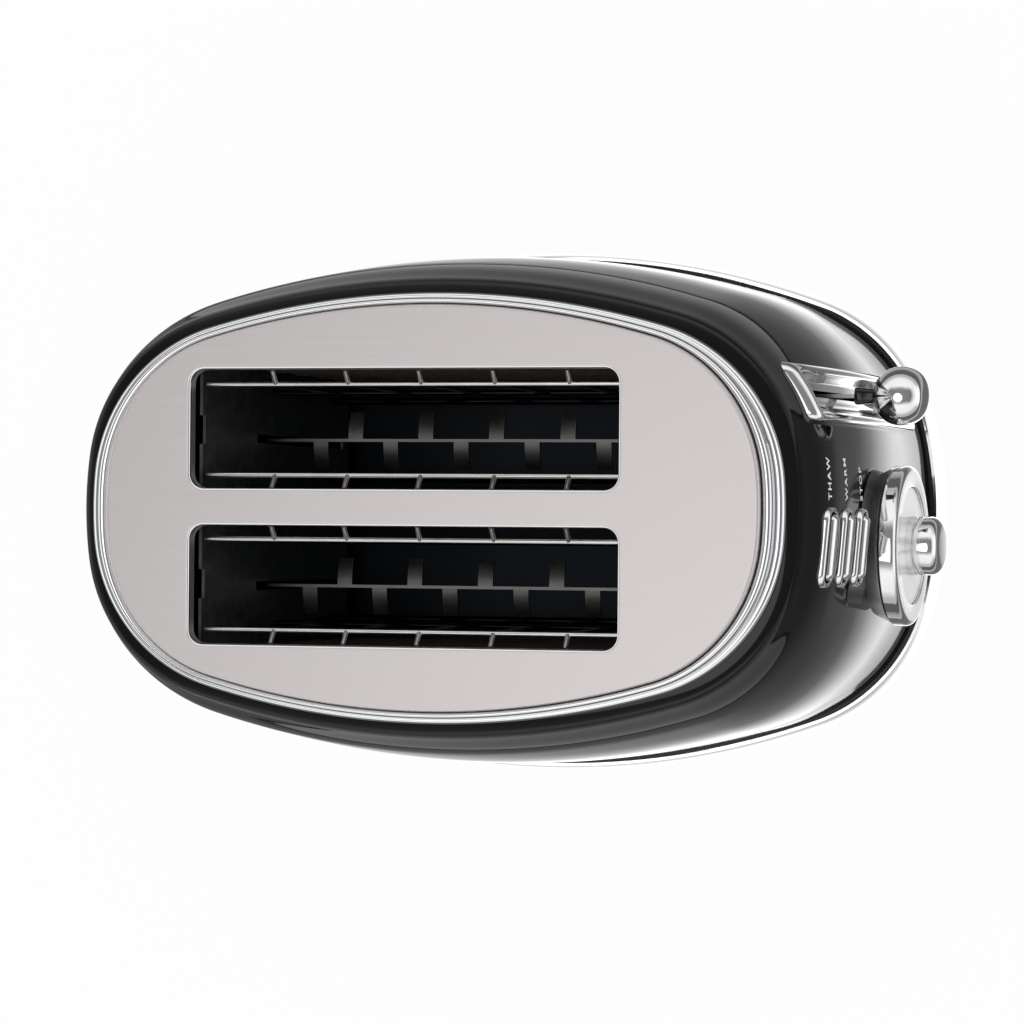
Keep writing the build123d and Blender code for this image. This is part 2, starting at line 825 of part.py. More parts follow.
# Bread racks: an upright strip with tabs bent out to each side in turn
rack_top = rack_height + rack_strip / 2
rack_first = slot_shift - rack_tab_pitch * (rack_tabs - 1) / 2
rack_shifts = {"left": rack_left_shift, "right": rack_right_shift}
for name, y in (("left", rack_sides[0]), ("right", rack_sides[1])):
    rack = block(
        rear_sheet_x - rack_tail, carriage_x, y - rack_thickness / 2, y + rack_thickness / 2,
        rack_height - rack_strip / 2, rack_top,
    )
    for hand, shift in ((-1, -rack_tab_pitch / 4), (1, rack_tab_pitch / 4)):
        tip_y = y + hand * rack_tab_reach
        upper = ThreePointArc(
            (y, rack_top),
            ((y + tip_y) / 2, rack_top - rack_tab_droop / 4),
            (tip_y, rack_top - rack_tab_droop),
        )
        lower = ThreePointArc(
            (tip_y, rack_top - rack_tab_droop - rack_thickness),
            ((y + tip_y) / 2, rack_top - rack_tab_droop / 4 - rack_thickness),
            (y, rack_top - rack_thickness),
        )
        side_face = make_face([upper, Line(upper @ 1, lower @ 0), lower, Line(lower @ 1, upper @ 0)])
        for i in range(rack_tabs):
            x = rack_first + rack_shifts[name] + shift + i * rack_tab_pitch
            tab = extrude(Plane.YZ * side_face, rack_tab_width)
            rack = rack + Pos(x - rack_tab_width / 2, 0, 0) * tab
    keep(f"bread_rack_{name}", rack)

# Carriage plate: joins the racks, the lever arm and the bush
carriage_top = lever_height + arm_depth / 2 + carriage_margin / 2
carriage_right = min(rack_sides) - carriage_margin
carriage_left = lever_side + arm_thickness / 2 + carriage_overlap
carriage = block(
    carriage_x, carriage_face, carriage_right, carriage_left, carriage_low, carriage_top
)
shelf_end = rod_x + bush_radius + shelf_rim
shelf_side = -bush_radius - shelf_rim
shelf = block(
    carriage_face, shelf_end, shelf_side, spring_side + spring_radius, shelf_level,
    shelf_level + shelf_thickness,
)
shelf = shelf - post(rod_x, 0, 0, plate_top, bush_radius)
carriage = carriage + shelf
magnet_rear = front_sheet_x + magnet_distance
armature_arm = block(
    carriage_face, magnet_rear + magnet_depth,
    magnet_side - magnet_width / 2, magnet_side + magnet_width / 2,
    carriage_low + armature_thickness, carriage_low + armature_thickness + carriage_thickness,
)
carriage = carriage + armature_arm
keep("carriage_plate", carriage)

# Bush that runs on the rod, with the shelf clamped round it
bush = post(rod_x, 0, bush_bottom, bush_bottom + bush_length, bush_radius)
bush = bush - post(rod_x, 0, 0, plate_top, rod_radius + rod_fit)
keep("carriage_bush", bush)

# Guide rod and the bracket that holds its upper end
rod = post(rod_x, 0, floor_top, rod_top, rod_radius)
keep("guide_rod", rod)
bracket = block(
    front_sheet_x + sheet_thickness, shelf_end, shelf_side, spring_side + spring_radius,
    rod_top - rod_bracket_thickness, rod_top,
)
bracket = bracket + block(
    front_sheet_x + sheet_thickness, front_sheet_x + sheet_thickness + rod_bracket_thickness,
    shelf_side, spring_side + spring_radius,
    rod_top - rod_bracket_thickness, rod_top + rod_bracket_tab,
)
keep("rod_bracket", bracket - rod)


# Return spring: one wire in even turns between the shelf and the bracket
def coil(x, y, z0, z1, radius, wire, turns):
    """A wire wound in quarter-turn arcs that keep one slope, between two levels."""
    steps = 4 * turns
    low = z0 + wire / 2
    rise = (z1 - wire / 2 - low) / steps
    slope = rise / (2 * radius)
    edges = []
    for i in range(steps):
        turn = i * pi / 2
        turned = turn + pi / 2
        start = (x + radius * cos(turn), y + radius * sin(turn), low + i * rise)
        finish = (x + radius * cos(turned), y + radius * sin(turned), low + (i + 1) * rise)
        edges.append(Edge.make_tangent_arc(start, (-sin(turn), cos(turn), slope), finish))
    path = Wire(edges)
    section = Plane(path @ 0, z_dir=path % 0) * Circle(wire / 2)
    return sweep(section, path=path), rise * 4


spring_low = shelf_level + shelf_thickness + spring_end_gap
spring_high = rod_top - rod_bracket_thickness - spring_end_gap
spring, spring_pitch = coil(
    rod_x, spring_side, spring_low, spring_high, spring_radius, spring_wire, spring_turns
)
print("return_spring least gap to itself", round(spring_pitch - spring_wire, 2))
keep("return_spring", spring)

# Lever: a steel arm through the slot, a black neck in front of it, and a ball knob
lever_wall_x = wall_x(lever_side, lever_height)
neck_start = lever_wall_x + neck_outside
knob_x = lever_wall_x + knob_reach
neck_end = knob_x - knob_radius + neck_into_knob
arm_end = neck_start + arm_into_neck
arm = block(
    carriage_face, arm_end, lever_side - arm_thickness / 2, lever_side + arm_thickness / 2,
    lever_height - arm_depth / 2, lever_height + arm_depth / 2,
)
arm = arm + block(
    carriage_face, carriage_face + arm_thickness,
    lever_side - carriage_overlap, lever_side + arm_thickness / 2,
    lever_height - arm_depth / 2, lever_height + arm_depth / 2,
)
keep("lever_arm", arm)
neck_shape = block(
    neck_start, neck_end, lever_side - neck_width / 2, lever_side + neck_width / 2,
    lever_height - neck_depth / 2, lever_height + neck_depth / 2,
)
neck_shape = fillet(neck_shape.edges().filter_by(Axis.X), neck_edge)
keep("lever_neck", neck_shape - arm)
knob = Pos(knob_x, lever_side, lever_height) * Sphere(knob_radius)
knob_end = Plane((knob_x + knob_flat, lever_side, lever_height), z_dir=(1, 0, 0))
knob = split(knob, bisect_by=knob_end, keep=Keep.BOTTOM)
keep("lever_knob", knob - neck_shape)

# Holding magnet on the pan floor, and the armature that it holds
magnet_top = carriage_low - lever_drop - armature_gap
magnet_front = magnet_rear + magnet_depth
magnet_low_y = magnet_side - magnet_width / 2
magnet_high_y = magnet_side + magnet_width / 2
core = block(magnet_rear, magnet_front, magnet_low_y, magnet_high_y, floor_top, magnet_top)
window_low = floor_top + magnet_leg
window_high = magnet_top
core = core - block(
    magnet_rear, magnet_front, magnet_low_y + magnet_leg, magnet_high_y - magnet_leg,
    window_low, window_high,
)
pole_half = magnet_leg / 2
pole = block(
    magnet_rear, magnet_front, magnet_side - pole_half, magnet_side + pole_half, window_low, window_high
)
keep("magnet_core", core + pole)
coil_block = block(
    magnet_rear - magnet_leg / 2, magnet_front + magnet_leg / 2,
    magnet_low_y + magnet_leg + magnet_coil_gap, magnet_high_y - magnet_leg - magnet_coil_gap,
    window_low, window_high - magnet_leg / 2,
)
pole_space = block(
    magnet_rear - magnet_coil_gap, magnet_front + magnet_coil_gap,
    magnet_side - pole_half - magnet_coil_gap, magnet_side + pole_half + magnet_coil_gap,
    floor_top, plate_top,
)
keep("magnet_coil", coil_block - pole_space)
keep(
    "latch_armature",
    block(
        magnet_rear, magnet_front, magnet_low_y, magnet_high_y,
        carriage_low, carriage_low + armature_thickness,
    ),
)

# Mains switch block beside the rod
keep(
    "mains_switch",
    block(
        magnet_rear, magnet_rear + switch_depth, switch_side - switch_width / 2,
        switch_side + switch_width / 2, floor_top, floor_top + switch_height,
    ),
)

# Lever bezel: a bright trough sunk through the wall, with a raised rim round it
front_start = body_half_length / 2
bezel = oval_ring(body_oval, wall_band(0, bezel_proud)) & bezel_block(0)
bezel_pan = oval_ring(body_oval, wall_band(-bezel_sink, bezel_proud))
bezel_pan = bezel_pan & bezel_block(bezel_rim - bezel_floor)
bezel_trough = oval_ring(body_oval, wall_band(bezel_floor - bezel_sink, 2 * bezel_proud))
bezel_trough = bezel_trough & bezel_block(bezel_rim)
keep("lever_bezel", bezel + bezel_pan - bezel_trough - lever_slot)

# Button rims and buttons, which follow the wall's curve
rim_band = oval_ring(body_oval, wall_band(0, button_rim_proud))
button_band = oval_ring(body_oval, wall_band(-button_inside, button_proud))
rims = []
switches = []
for name, z in button_heights.items():
    outer = pill(button_rim_length, button_rim_height, front_start, wall_outside, button_side, z)
    inner = pill(rim_hole_length, rim_hole_height, front_start, wall_outside, button_side, z)
    rims.append((rim_band & outer) - inner)
    cap = button_band & pill(button_length, button_height, front_start, wall_outside, button_side, z)
    stem_end = board_face + switch_body_depth + button_travel + button_stem_gap
    stem_start = wall_x(button_side, z) - button_inside / 2
    cap = cap + bar(stem_end, stem_start, button_side, z, button_stem_radius)
    keep(f"{name}_button", cap)
    switches.append(
        block(
            board_face, board_face + switch_body_depth,
            button_side - switch_body / 2, button_side + switch_body / 2,
            z - switch_body / 2, z + switch_body / 2,
        )
    )
keep("button_rims", Compound(rims))
keep("button_switches", Compound(switches))


# Browning dial: fixed bezel, turning disc with inlay, grip and shaft
def dial_disc(radius, start, end):
    """A disc on the dial's axis, between two distances from the wall."""
    return dial_plane * Pos(0, 0, (start + end) / 2) * Cylinder(radius, end - start)


dial_base_length = dial_bezel_proud + dial_bezel_depth
dial_base = dial_plane * Pos(0, 0, dial_bezel_proud - dial_base_length / 2) * Cone(
    dial_bezel_root, dial_bezel_radius, dial_base_length
)
dial_base = dial_base - body - shaft_hole
keep("dial_bezel", dial_base)
disc_local = Cylinder(dial_radius, dial_rim)
disc_local = fillet(disc_local.edges().group_by(Axis.Z)[-1], dial_rim_edge)
dial_face_level = dial_front - dial_face_depth
disc = dial_plane * Pos(0, 0, dial_back + dial_rim / 2) * disc_local
disc = disc - dial_disc(dial_face_radius, dial_face_level, dial_front + dial_rim)
disc = disc - dial_disc(shaft_radius, 0, dial_front)
keep("dial_disc", disc)
inlay = dial_disc(dial_face_radius, dial_face_level, dial_face_level + dial_inlay_thickness)
keep("dial_inlay", inlay - dial_disc(shaft_radius, 0, dial_front))
grip_local = Cylinder(grip_radius, grip_length)
grip_local = fillet(grip_local.edges().group_by(Axis.Z)[-1], grip_edge)
grip = dial_plane * Pos(0, 0, grip_start + grip_length / 2) * grip_local
keep("dial_grip", grip - dial_disc(shaft_radius, 0, grip_start + grip_socket))
keep("dial_shaft", dial_disc(shaft_radius, -shaft_inside, grip_start + grip_socket))

# Control board on the pan's posts, with the dial's potentiometer
board = block(board_x, board_face, board_left, board_right, board_bottom, board_top)
keep("control_board", board)
potentiometer = dial_disc(potentiometer_radius, -2 * board_distance, -potentiometer_gap)
potentiometer = potentiometer & block(
    board_face, wall_outside, board_left, board_right, floor_top, plate_top
)
shaft_pocket = dial_disc(shaft_radius + shaft_fit, -shaft_inside - dial_gap, 0)
keep("dial_potentiometer", potentiometer - shaft_pocket)

# Crumb tray with its curved front, which closes the window in the skirt
tray_rear = -(base_half_length + pan_inner) + tray_wall
tray = block(tray_rear, tray_front_end, -tray_half_width, tray_half_width, tray_low, tray_high)
tray = tray - block(
    tray_rear + tray_wall, tray_front_end - tray_wall,
    -tray_half_width + tray_wall, tray_half_width - tray_wall, tray_low + tray_wall, shell_bottom,
)
pan_inside = oval_slab(base_oval, pan_inner - tray_play, 0, plate_top)
tray = tray & pan_inside
keep("crumb_tray", tray)
front_window = block(
    -2 * base_half_length, -base_half_length / 2,
    -tray_half_width, tray_half_width, tray_low, tray_high,
)
tray_front = oval_slab(base_oval, -skirt_bulge, 0, plate_top) & front_window
keep("crumb_tray_front", tray_front - pan_inside)
pull_z = (tray_low + tray_high) / 2
pull = block(
    -base_half_length - tray_pull_reach, tray_rear, -tray_pull_half_width, tray_pull_half_width,
    pull_z - tray_pull_height / 2, pull_z + tray_pull_height / 2,
)
pull = fillet(pull.edges().filter_by(Axis.Y).group_by(Axis.X)[0], tray_pull_edge)
keep("crumb_tray_pull", pull - oval_slab(base_oval, -skirt_bulge, 0, plate_top))

# Gland for the mains lead in the rear wall, and the terminals inside
gland = bar(
    gland_wall_x - gland_proud, gland_wall_x + gland_inside, gland_side, gland_height, gland_radius
)
gland_head = bar(
    gland_wall_x - gland_flange - shell_wall, gland_wall_x + gland_proud, gland_side, gland_height,
    gland_flange_radius,
)
gland = gland + (gland_head - body)
gland = gland - bar(
    gland_wall_x - wall_cut_depth / 2, gland_wall_x + wall_cut_depth / 2,
    gland_side, gland_height, gland_bore,
)
keep("cord_gland", gland)
terminal = block(
    rear_sheet_x - terminal_depth, rear_sheet_x,
    terminal_side - terminal_width / 2, terminal_side + terminal_width / 2,
    terminal_height - terminal_size / 2, terminal_height + terminal_size / 2,
)
keep("terminal_block", terminal)
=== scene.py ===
import json
from math import atan2, cos, hypot, pi, radians, sin, sqrt

import bmesh
import bpy
import numpy as np
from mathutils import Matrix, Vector


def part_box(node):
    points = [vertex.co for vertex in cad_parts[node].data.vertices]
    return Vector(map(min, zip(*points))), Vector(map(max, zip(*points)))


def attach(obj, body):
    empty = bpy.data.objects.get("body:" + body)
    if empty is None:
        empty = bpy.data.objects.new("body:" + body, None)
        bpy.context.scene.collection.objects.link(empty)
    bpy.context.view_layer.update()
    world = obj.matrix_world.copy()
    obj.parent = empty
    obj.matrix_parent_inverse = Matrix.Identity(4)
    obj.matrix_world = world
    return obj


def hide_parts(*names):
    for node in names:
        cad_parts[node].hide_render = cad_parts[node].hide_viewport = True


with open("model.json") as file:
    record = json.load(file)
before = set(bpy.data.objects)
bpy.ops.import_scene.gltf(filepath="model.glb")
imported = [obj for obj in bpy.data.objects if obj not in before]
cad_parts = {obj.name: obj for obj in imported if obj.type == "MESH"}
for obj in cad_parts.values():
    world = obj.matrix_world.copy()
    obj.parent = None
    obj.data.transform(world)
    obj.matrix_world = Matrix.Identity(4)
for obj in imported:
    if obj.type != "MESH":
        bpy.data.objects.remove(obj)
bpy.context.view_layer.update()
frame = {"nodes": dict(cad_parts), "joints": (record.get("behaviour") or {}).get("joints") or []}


# Rubber feet and base screws
# Four moulded rubber pads carry the toaster, and four zinc-plated screws hold the
# chamber's end sheets to the floor. Both are seen only from below.
def linear(hex_colour):
    """A linear colour with alpha from an sRGB hex value."""
    parts = [int(hex_colour[i:i + 2], 16) / 255 for i in (1, 3, 5)]
    return [p / 12.92 if p <= 0.04045 else ((p + 0.055) / 1.055) ** 2.4 for p in parts] + [1.0]


def add(tree, kind, inputs=None, **settings):
    """Add one node, with its settings and with its inputs linked or set."""
    node = tree.nodes.new(kind)
    for name, value in settings.items():
        setattr(node, name, value)
    for socket, value in (inputs or {}).items():
        if isinstance(value, bpy.types.NodeSocket):
            tree.links.new(value, node.inputs[socket])
        else:
            node.inputs[socket].default_value = value
    return node


def start_material(name, **sockets):
    """A new material, its tree, its surface shader and the object's own coordinates."""
    material = bpy.data.materials.new(name)
    material.use_nodes = True
    tree = material.node_tree
    surface = tree.nodes["Principled BSDF"]
    for socket, value in sockets.items():
        surface.inputs[socket.replace("_", " ")].default_value = value
    place = add(tree, "ShaderNodeTexCoord").outputs["Object"]
    return material, tree, surface, place


def tone(tree, surface, pattern, dark, light):
    """Let a pattern run the surface's colour between two sRGB values."""
    ramp = add(tree, "ShaderNodeValToRGB", {"Fac": pattern})
    for element, colour in zip(ramp.color_ramp.elements, (dark, light)):
        element.color = linear(colour)
    tree.links.new(ramp.outputs["Color"], surface.inputs["Base Color"])


def roughen(tree, surface, pattern, least, most):
    """Let a pattern run the surface's roughness between two values."""
    spread = add(tree, "ShaderNodeMapRange", {"Value": pattern, "To Min": least, "To Max": most})
    tree.links.new(spread.outputs["Result"], surface.inputs["Roughness"])


def dress(material, *nodes):
    """Give CAD nodes their finish."""
    for node in nodes:
        mesh = frame["nodes"][node].data
        mesh.materials.clear()
        mesh.materials.append(material)


# Moulded rubber: matt, with a fine grain of about 0.6 mm and slightly greyed patches
rubber, tree, surface, place = start_material("moulded_rubber", Roughness=0.8)
rubber_grain = add(tree, "ShaderNodeTexNoise", {"Vector": place, "Scale": 1 / 0.0006})
tone(tree, surface, rubber_grain.outputs["Fac"], "#151516", "#2a2a2b")
rubber_bump = add(tree, "ShaderNodeBump", {"Height": rubber_grain.outputs["Fac"], "Distance": 0.0001})
tree.links.new(rubber_bump.outputs["Normal"], surface.inputs["Normal"])
dress(rubber, "rubber_feet")

# Zinc-plated sheet: cool grey metal with a soft spangle of about 5 mm
zinc, tree, surface, place = start_material("zinc_plated_steel", Metallic=1.0)
spangle = add(tree, "ShaderNodeTexVoronoi", {"Vector": place, "Scale": 1 / 0.005})
tone(tree, surface, spangle.outputs["Distance"], "#a9adb0", "#c3c6c8")
roughen(tree, surface, spangle.outputs["Distance"], 0.32, 0.45)
dress(zinc, "base_screws")

# Base pan
# A moulded black floor with a rim wall, whose flat top shows as the dark ledge between
# the body and the bright skirt. The cord gland and small mouldings share its plastic.
# ABS: near black, with a spark-eroded grain of about 0.8 mm that breaks the gloss
abs_black, tree, surface, place = start_material("grained_black_abs", IOR=1.5)
abs_grain = add(tree, "ShaderNodeTexNoise", {"Vector": place, "Scale": 1 / 0.0008, "Detail": 4.0})
tone(tree, surface, abs_grain.outputs["Fac"], "#060607", "#0f0f11")
roughen(tree, surface, abs_grain.outputs["Fac"], 0.3, 0.45)
abs_bump = add(tree, "ShaderNodeBump", {"Height": abs_grain.outputs["Fac"], "Distance": 0.00004})
tree.links.new(abs_bump.outputs["Normal"], surface.inputs["Normal"])
dress(abs_black, "base_pan", "cord_gland", "crumb_tray_pull", "lever_neck")
dress(abs_black, "mains_switch", "button_switches", "dial_potentiometer")

# Base skirt
# A chromed steel band, bowed outwards, which wraps the pan and leaves a window at the
# rear for the crumb tray. It is rolled, welded and plated.
base_oval = (0.1402, 0.0933, 0.280, 0.062, 0.135)
skirt_bulge = 0.0018
skirt_wall = 0.001
ring_step = 0.0025
ring_low, ring_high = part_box("top_trim_ring")
middle_x = (ring_low.x + ring_high.x) / 2


def oval_arcs(oval):
    """Arc centres of the oval's first quarter, and the angles where its arcs meet."""
    half_length, half_width, side_radius, corner_radius, end_radius = oval
    side_y = half_width - side_radius
    end_x = half_length - end_radius
    from_side = side_radius - corner_radius
    from_end = end_radius - corner_radius
    gap = hypot(end_x, side_y)
    along = (from_side**2 - from_end**2 + gap**2) / (2 * gap)
    aside = sqrt(from_side**2 - along**2)
    corner_x = (along * end_x - aside * side_y) / gap
    corner_y = side_y - (along * side_y + aside * end_x) / gap
    side_turn = atan2(corner_y - side_y, corner_x)
    end_turn = atan2(corner_y, corner_x - end_x)
    return side_y, end_x, corner_x, corner_y, side_turn, end_turn


def oval_ring(oval, step):
    """Points round an oval of tangent arcs, each with its outward direction."""
    side_y, end_x, corner_x, corner_y, side_turn, end_turn = oval_arcs(oval)
    arcs = (
        (end_x, 0.0, oval[4], 0.0, end_turn),
        (corner_x, corner_y, oval[3], end_turn, side_turn),
        (0.0, side_y, oval[2], side_turn, pi / 2),
    )
    quarter = []
    for x, y, radius, first, last in arcs:
        count = max(2, round(radius * (last - first) / step))
        for i in range(count):
            turn = first + (last - first) * i / count
            quarter.append((x + radius * cos(turn), y + radius * sin(turn), cos(turn), sin(turn)))
    half = quarter + [(0.0, oval[1], 0.0, 1.0)]
    half += [(-x, y, -a, b) for x, y, a, b in reversed(quarter)]
    return half + [(x, -y, a, -b) for x, y, a, b in reversed(half[1:-1])]


def drawn(name, count, place, steps, closed=False):
    """A ring of points, extruded from step to step and laid where place puts each point."""
    bpy.ops.object.select_all(action="DESELECT")
    bpy.ops.mesh.primitive_circle_add(vertices=count)
    piece = bpy.context.object
    piece.name = name
    piece.data.name = name
    turns = piece.data.attributes.new("turn", "INT", "POINT")
    turns.data.foreach_set("value", list(range(count)))
    bpy.ops.object.mode_set(mode="EDIT")
    bpy.ops.mesh.select_all(action="SELECT")
    for number, step in enumerate(steps):
        if number:
            bpy.ops.mesh.extrude_region_move()
        shape = bmesh.from_edit_mesh(piece.data)
        turn = shape.verts.layers.int["turn"]
        for vert in shape.verts:
            if vert.select:
                vert.co = place(vert[turn], step)
        bmesh.update_edit_mesh(piece.data)
    if closed:
        bpy.ops.mesh.select_all(action="DESELECT")
        bpy.ops.mesh.select_non_manifold()
        bpy.ops.mesh.bridge_edge_loops()
    bpy.ops.object.mode_set(mode="OBJECT")
    return piece


def tidy(piece, angle=35):
    """Merge doubled points, turn the faces outwards and smooth all but the sharp edges."""
    bpy.ops.object.select_all(action="DESELECT")
    bpy.context.view_layer.objects.active = piece
    piece.select_set(True)
    bpy.ops.object.mode_set(mode="EDIT")
    bpy.ops.mesh.select_all(action="SELECT")
    bpy.ops.mesh.remove_doubles(threshold=0.000002)
    bpy.ops.mesh.normals_make_consistent(inside=False)
    bpy.ops.object.mode_set(mode="OBJECT")
    bpy.ops.object.shade_smooth_by_angle(angle=radians(angle))
    return piece


def put(piece, node, body, material):
    """Let a finished piece stand for its CAD node."""
    piece.data.materials.clear()
    piece.data.materials.append(material)
    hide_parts(node)
    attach(piece, body)


def cut(piece, low, high):
    """Take a box out of a piece."""
    bpy.ops.object.select_all(action="DESELECT")
    bpy.ops.mesh.primitive_cube_add(size=1)
    cutter = bpy.context.object
    middle = (Vector(low) + Vector(high)) / 2
    size = Vector(high) - Vector(low)
    for vert in cutter.data.vertices:
        vert.co = Vector([m + s * c for m, s, c in zip(middle, size, vert.co)])
    bpy.context.view_layer.objects.active = piece
    piece.select_set(True)
    trim = piece.modifiers.new("cut", "BOOLEAN")
    trim.operation = "DIFFERENCE"
    trim.solver = "EXACT"
    trim.object = cutter
    bpy.ops.object.modifier_apply(modifier=trim.name)
    bpy.data.objects.remove(cutter)


def along_oval(ring):
    """Where a profile point of (offset, height) lies at each place of the ring."""
    def place(turn, step):
        x, y, out_x, out_y = ring[turn]
        return Vector((middle_x + x + out_x * step[0], y + out_y * step[0], step[1]))
    return place


# Chrome plate: a mirror with a faint film of handling marks, patches of about 30 mm
chrome, tree, surface, place = start_material("chrome_plate", Metallic=1.0)
film = add(tree, "ShaderNodeTexNoise", {"Vector": place, "Scale": 1 / 0.03, "Detail": 6.0})
roughen(tree, surface, film.outputs["Fac"], 0.03, 0.09)
tone(tree, surface, film.outputs["Fac"], "#e4e5e8", "#efefef")

skirt_low, skirt_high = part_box("base_skirt")
skirt_steps = 24
skirt_profile = []
for i in range(skirt_steps + 1):
    share = 2 * i / skirt_steps - 1
    height = (skirt_low.z + skirt_high.z) / 2 + share * (skirt_high.z - skirt_low.z) / 2
    skirt_profile.append((-skirt_bulge * share**2, height))
skirt_inside = -skirt_bulge - skirt_wall
skirt_profile.append((skirt_inside, skirt_high.z))
skirt_profile.append((skirt_inside, skirt_low.z))
base_ring = oval_ring(base_oval, ring_step)
skirt = drawn("base_band", len(base_ring), along_oval(base_ring), skirt_profile, closed=True)
tray_low, tray_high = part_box("crumb_tray_front")
window_play = 0.0004
cut(
    skirt,
    (skirt_low.x - skirt_wall, tray_low.y - window_play, tray_low.z - window_play),
    (middle_x, tray_high.y + window_play, tray_high.z + window_play),
)
put(tidy(skirt), "base_skirt", "housing", chrome)

# Crumb tray and reflectors
# A folded steel tray with a plated front that closes the window in the skirt, and the
# side walls of the chamber. Heat has blued and darkened the steel.
dress(chrome, "crumb_tray_front")
# Blued steel: dark grey-blue, cloudy over about 25 mm
blued, tree, surface, place = start_material("blued_chamber_steel", Metallic=1.0)
cloud = add(tree, "ShaderNodeTexNoise", {"Vector": place, "Scale": 1 / 0.025, "Detail": 5.0})
tone(tree, surface, cloud.outputs["Fac"], "#1d2024", "#33383d")
roughen(tree, surface, cloud.outputs["Fac"], 0.28, 0.5)
dress(blued, "crumb_tray", "reflector_left", "reflector_right")

# End sheets
# Two upright sheets of zinc-plated steel that carry the guides, cards and racks. Their cut
# edges catch the light in the slots.
dress(zinc, "rear_end_sheet", "front_end_sheet")

# Heating cards and ribbons
# Four boards of pressed mica, each wound with one flat heating ribbon on its bread side.
# Heat has browned the boards and oxidised the ribbon.
# Mica: flaky browned board, with flakes of about 4 mm
mica, tree, surface, place = start_material("browned_mica_board", Roughness=0.55)
flakes = add(tree, "ShaderNodeTexVoronoi", {"Vector": place, "Scale": 1 / 0.004})
tone(tree, surface, flakes.outputs["Color"], "#14110d", "#221c15")
# Oxidised nickel-chrome ribbon: dull grey-brown metal with a mottle of about 3 mm
ribbon, tree, surface, place = start_material("oxidised_heating_ribbon", Metallic=1.0, Roughness=0.5)
scale_mottle = add(tree, "ShaderNodeTexNoise", {"Vector": place, "Scale": 1 / 0.003})
tone(tree, surface, scale_mottle.outputs["Fac"], "#332f2b", "#544d47")
for card in ("outer_left", "inner_left", "inner_right", "outer_right"):
    dress(mica, f"heating_card_{card}")
    dress(ribbon, f"heating_ribbon_{card}")

# Bread guides
# Bright drawn steel wire, bent, flared at the top and spot-welded to two rails. The guides
# swing on their lowest rod.
# Drawn wire: bright grey at the top, with a tint in patches of 12 mm; below 168 mm it turns brown-black,
# painted shade deep in the slots
wire, tree, surface, place = start_material("bright_drawn_wire", Metallic=1.0)
tint = add(tree, "ShaderNodeTexNoise", {"Vector": place, "Scale": 1 / 0.012, "Detail": 3.0})
wire_tone = add(tree, "ShaderNodeValToRGB", {"Fac": tint.outputs["Fac"]})
wire_tone.color_ramp.elements[0].color = linear("#b9b6b1")
wire_tone.color_ramp.elements[1].color = linear("#e2e2e2")
roughen(tree, surface, tint.outputs["Fac"], 0.16, 0.3)
wire_height = add(tree, "ShaderNodeSeparateXYZ", {0: place})
# Painted shade: the wire's colour fades from bright to brown-black below 168 mm, where it stands deep in the
# slots
wire_painted_light_share = add(tree, "ShaderNodeMapRange", {"Value": wire_height.outputs["Z"]})
wire_painted_light_share.inputs["From Min"].default_value = 0.168
wire_painted_light_share.inputs["From Max"].default_value = 0.178
wire_shades = {0: wire_painted_light_share.outputs["Result"], 7: wire_tone.outputs["Color"]}
wire_mix = add(tree, "ShaderNodeMix", wire_shades, data_type="RGBA")
# This brown-black is painted shade for the wire deep in the slots
wire_mix.inputs[6].default_value = linear("#2e2b28")
tree.links.new(wire_mix.outputs[2], surface.inputs["Base Color"])
for guide in ("left_outer", "left_inner", "right_inner", "right_outer"):
    dress(wire, f"bread_guide_{guide}")
dress(wire, "guide_rod", "return_spring", "dial_shaft")

# Bread racks and carriage
# The racks are steel strips with tabs bent out in turn, carried by the plate that slides
# with the lever. All are pressed from plain steel that heat has dulled.
# Dulled steel: mid grey, with smudges of about 8 mm
dulled, tree, surface, place = start_material("heat_dulled_steel", Metallic=1.0)
smudge = add(tree, "ShaderNodeTexNoise", {"Vector": place, "Scale": 1 / 0.008, "Detail": 4.0})
tone(tree, surface, smudge.outputs["Fac"], "#6d6c6a", "#989795")
roughen(tree, surface, smudge.outputs["Fac"], 0.3, 0.5)
dress(dulled, "bread_rack_left", "bread_rack_right")
dress(zinc, "carriage_plate", "rod_bracket", "lever_arm", "latch_armature", "magnet_core")

# Brass bush and wound coil
# The bush is turned from brass, and the magnet's coil is wound from enamelled copper.
# Turned brass: yellow metal with rings from the tool about 0.5 mm apart
brass, tree, surface, place = start_material("turned_brass", Metallic=1.0, Roughness=0.3)
tool_rings = add(tree, "ShaderNodeTexWave", {"Vector": place, "Scale": 0.31 / 0.0005}, bands_direction="Z")
tone(tree, surface, tool_rings.outputs["Fac"], "#b08d3f", "#d9b765")
dress(brass, "carriage_bush")
# Enamelled copper: red-brown turns about 0.6 mm apart
copper, tree, surface, place = start_material("enamelled_copper", Metallic=1.0, Roughness=0.35)
turns_wave = add(tree, "ShaderNodeTexWave", {"Vector": place, "Scale": 0.31 / 0.0006}, bands_direction="Z")
tone(tree, surface, turns_wave.outputs["Fac"], "#6d3a20", "#b9703f")
copper_bump = add(tree, "ShaderNodeBump", {"Height": turns_wave.outputs["Fac"], "Distance": 0.0002})
tree.links.new(copper_bump.outputs["Normal"], surface.inputs["Normal"])
dress(copper, "magnet_coil")

# Control board and terminals
# A green lacquered circuit board stands behind the controls, and a white terminal block
# is fixed inside. Neither shows on a closed toaster.
# Lacquered glass-fibre board: green, with copper tracks under the lacquer 3 mm apart
board, tree, surface, place = start_material("lacquered_circuit_board", Roughness=0.35)
tracks = add(tree, "ShaderNodeTexBrick", {"Vector": place, "Scale": 1 / 0.012})
tracks.inputs["Color1"].default_value = linear("#0f4a26")
tracks.inputs["Color2"].default_value = linear("#125530")
tracks.inputs["Mortar"].default_value = linear("#2d7a45")
tree.links.new(tracks.outputs["Color"], surface.inputs["Base Color"])
dress(board, "control_board")
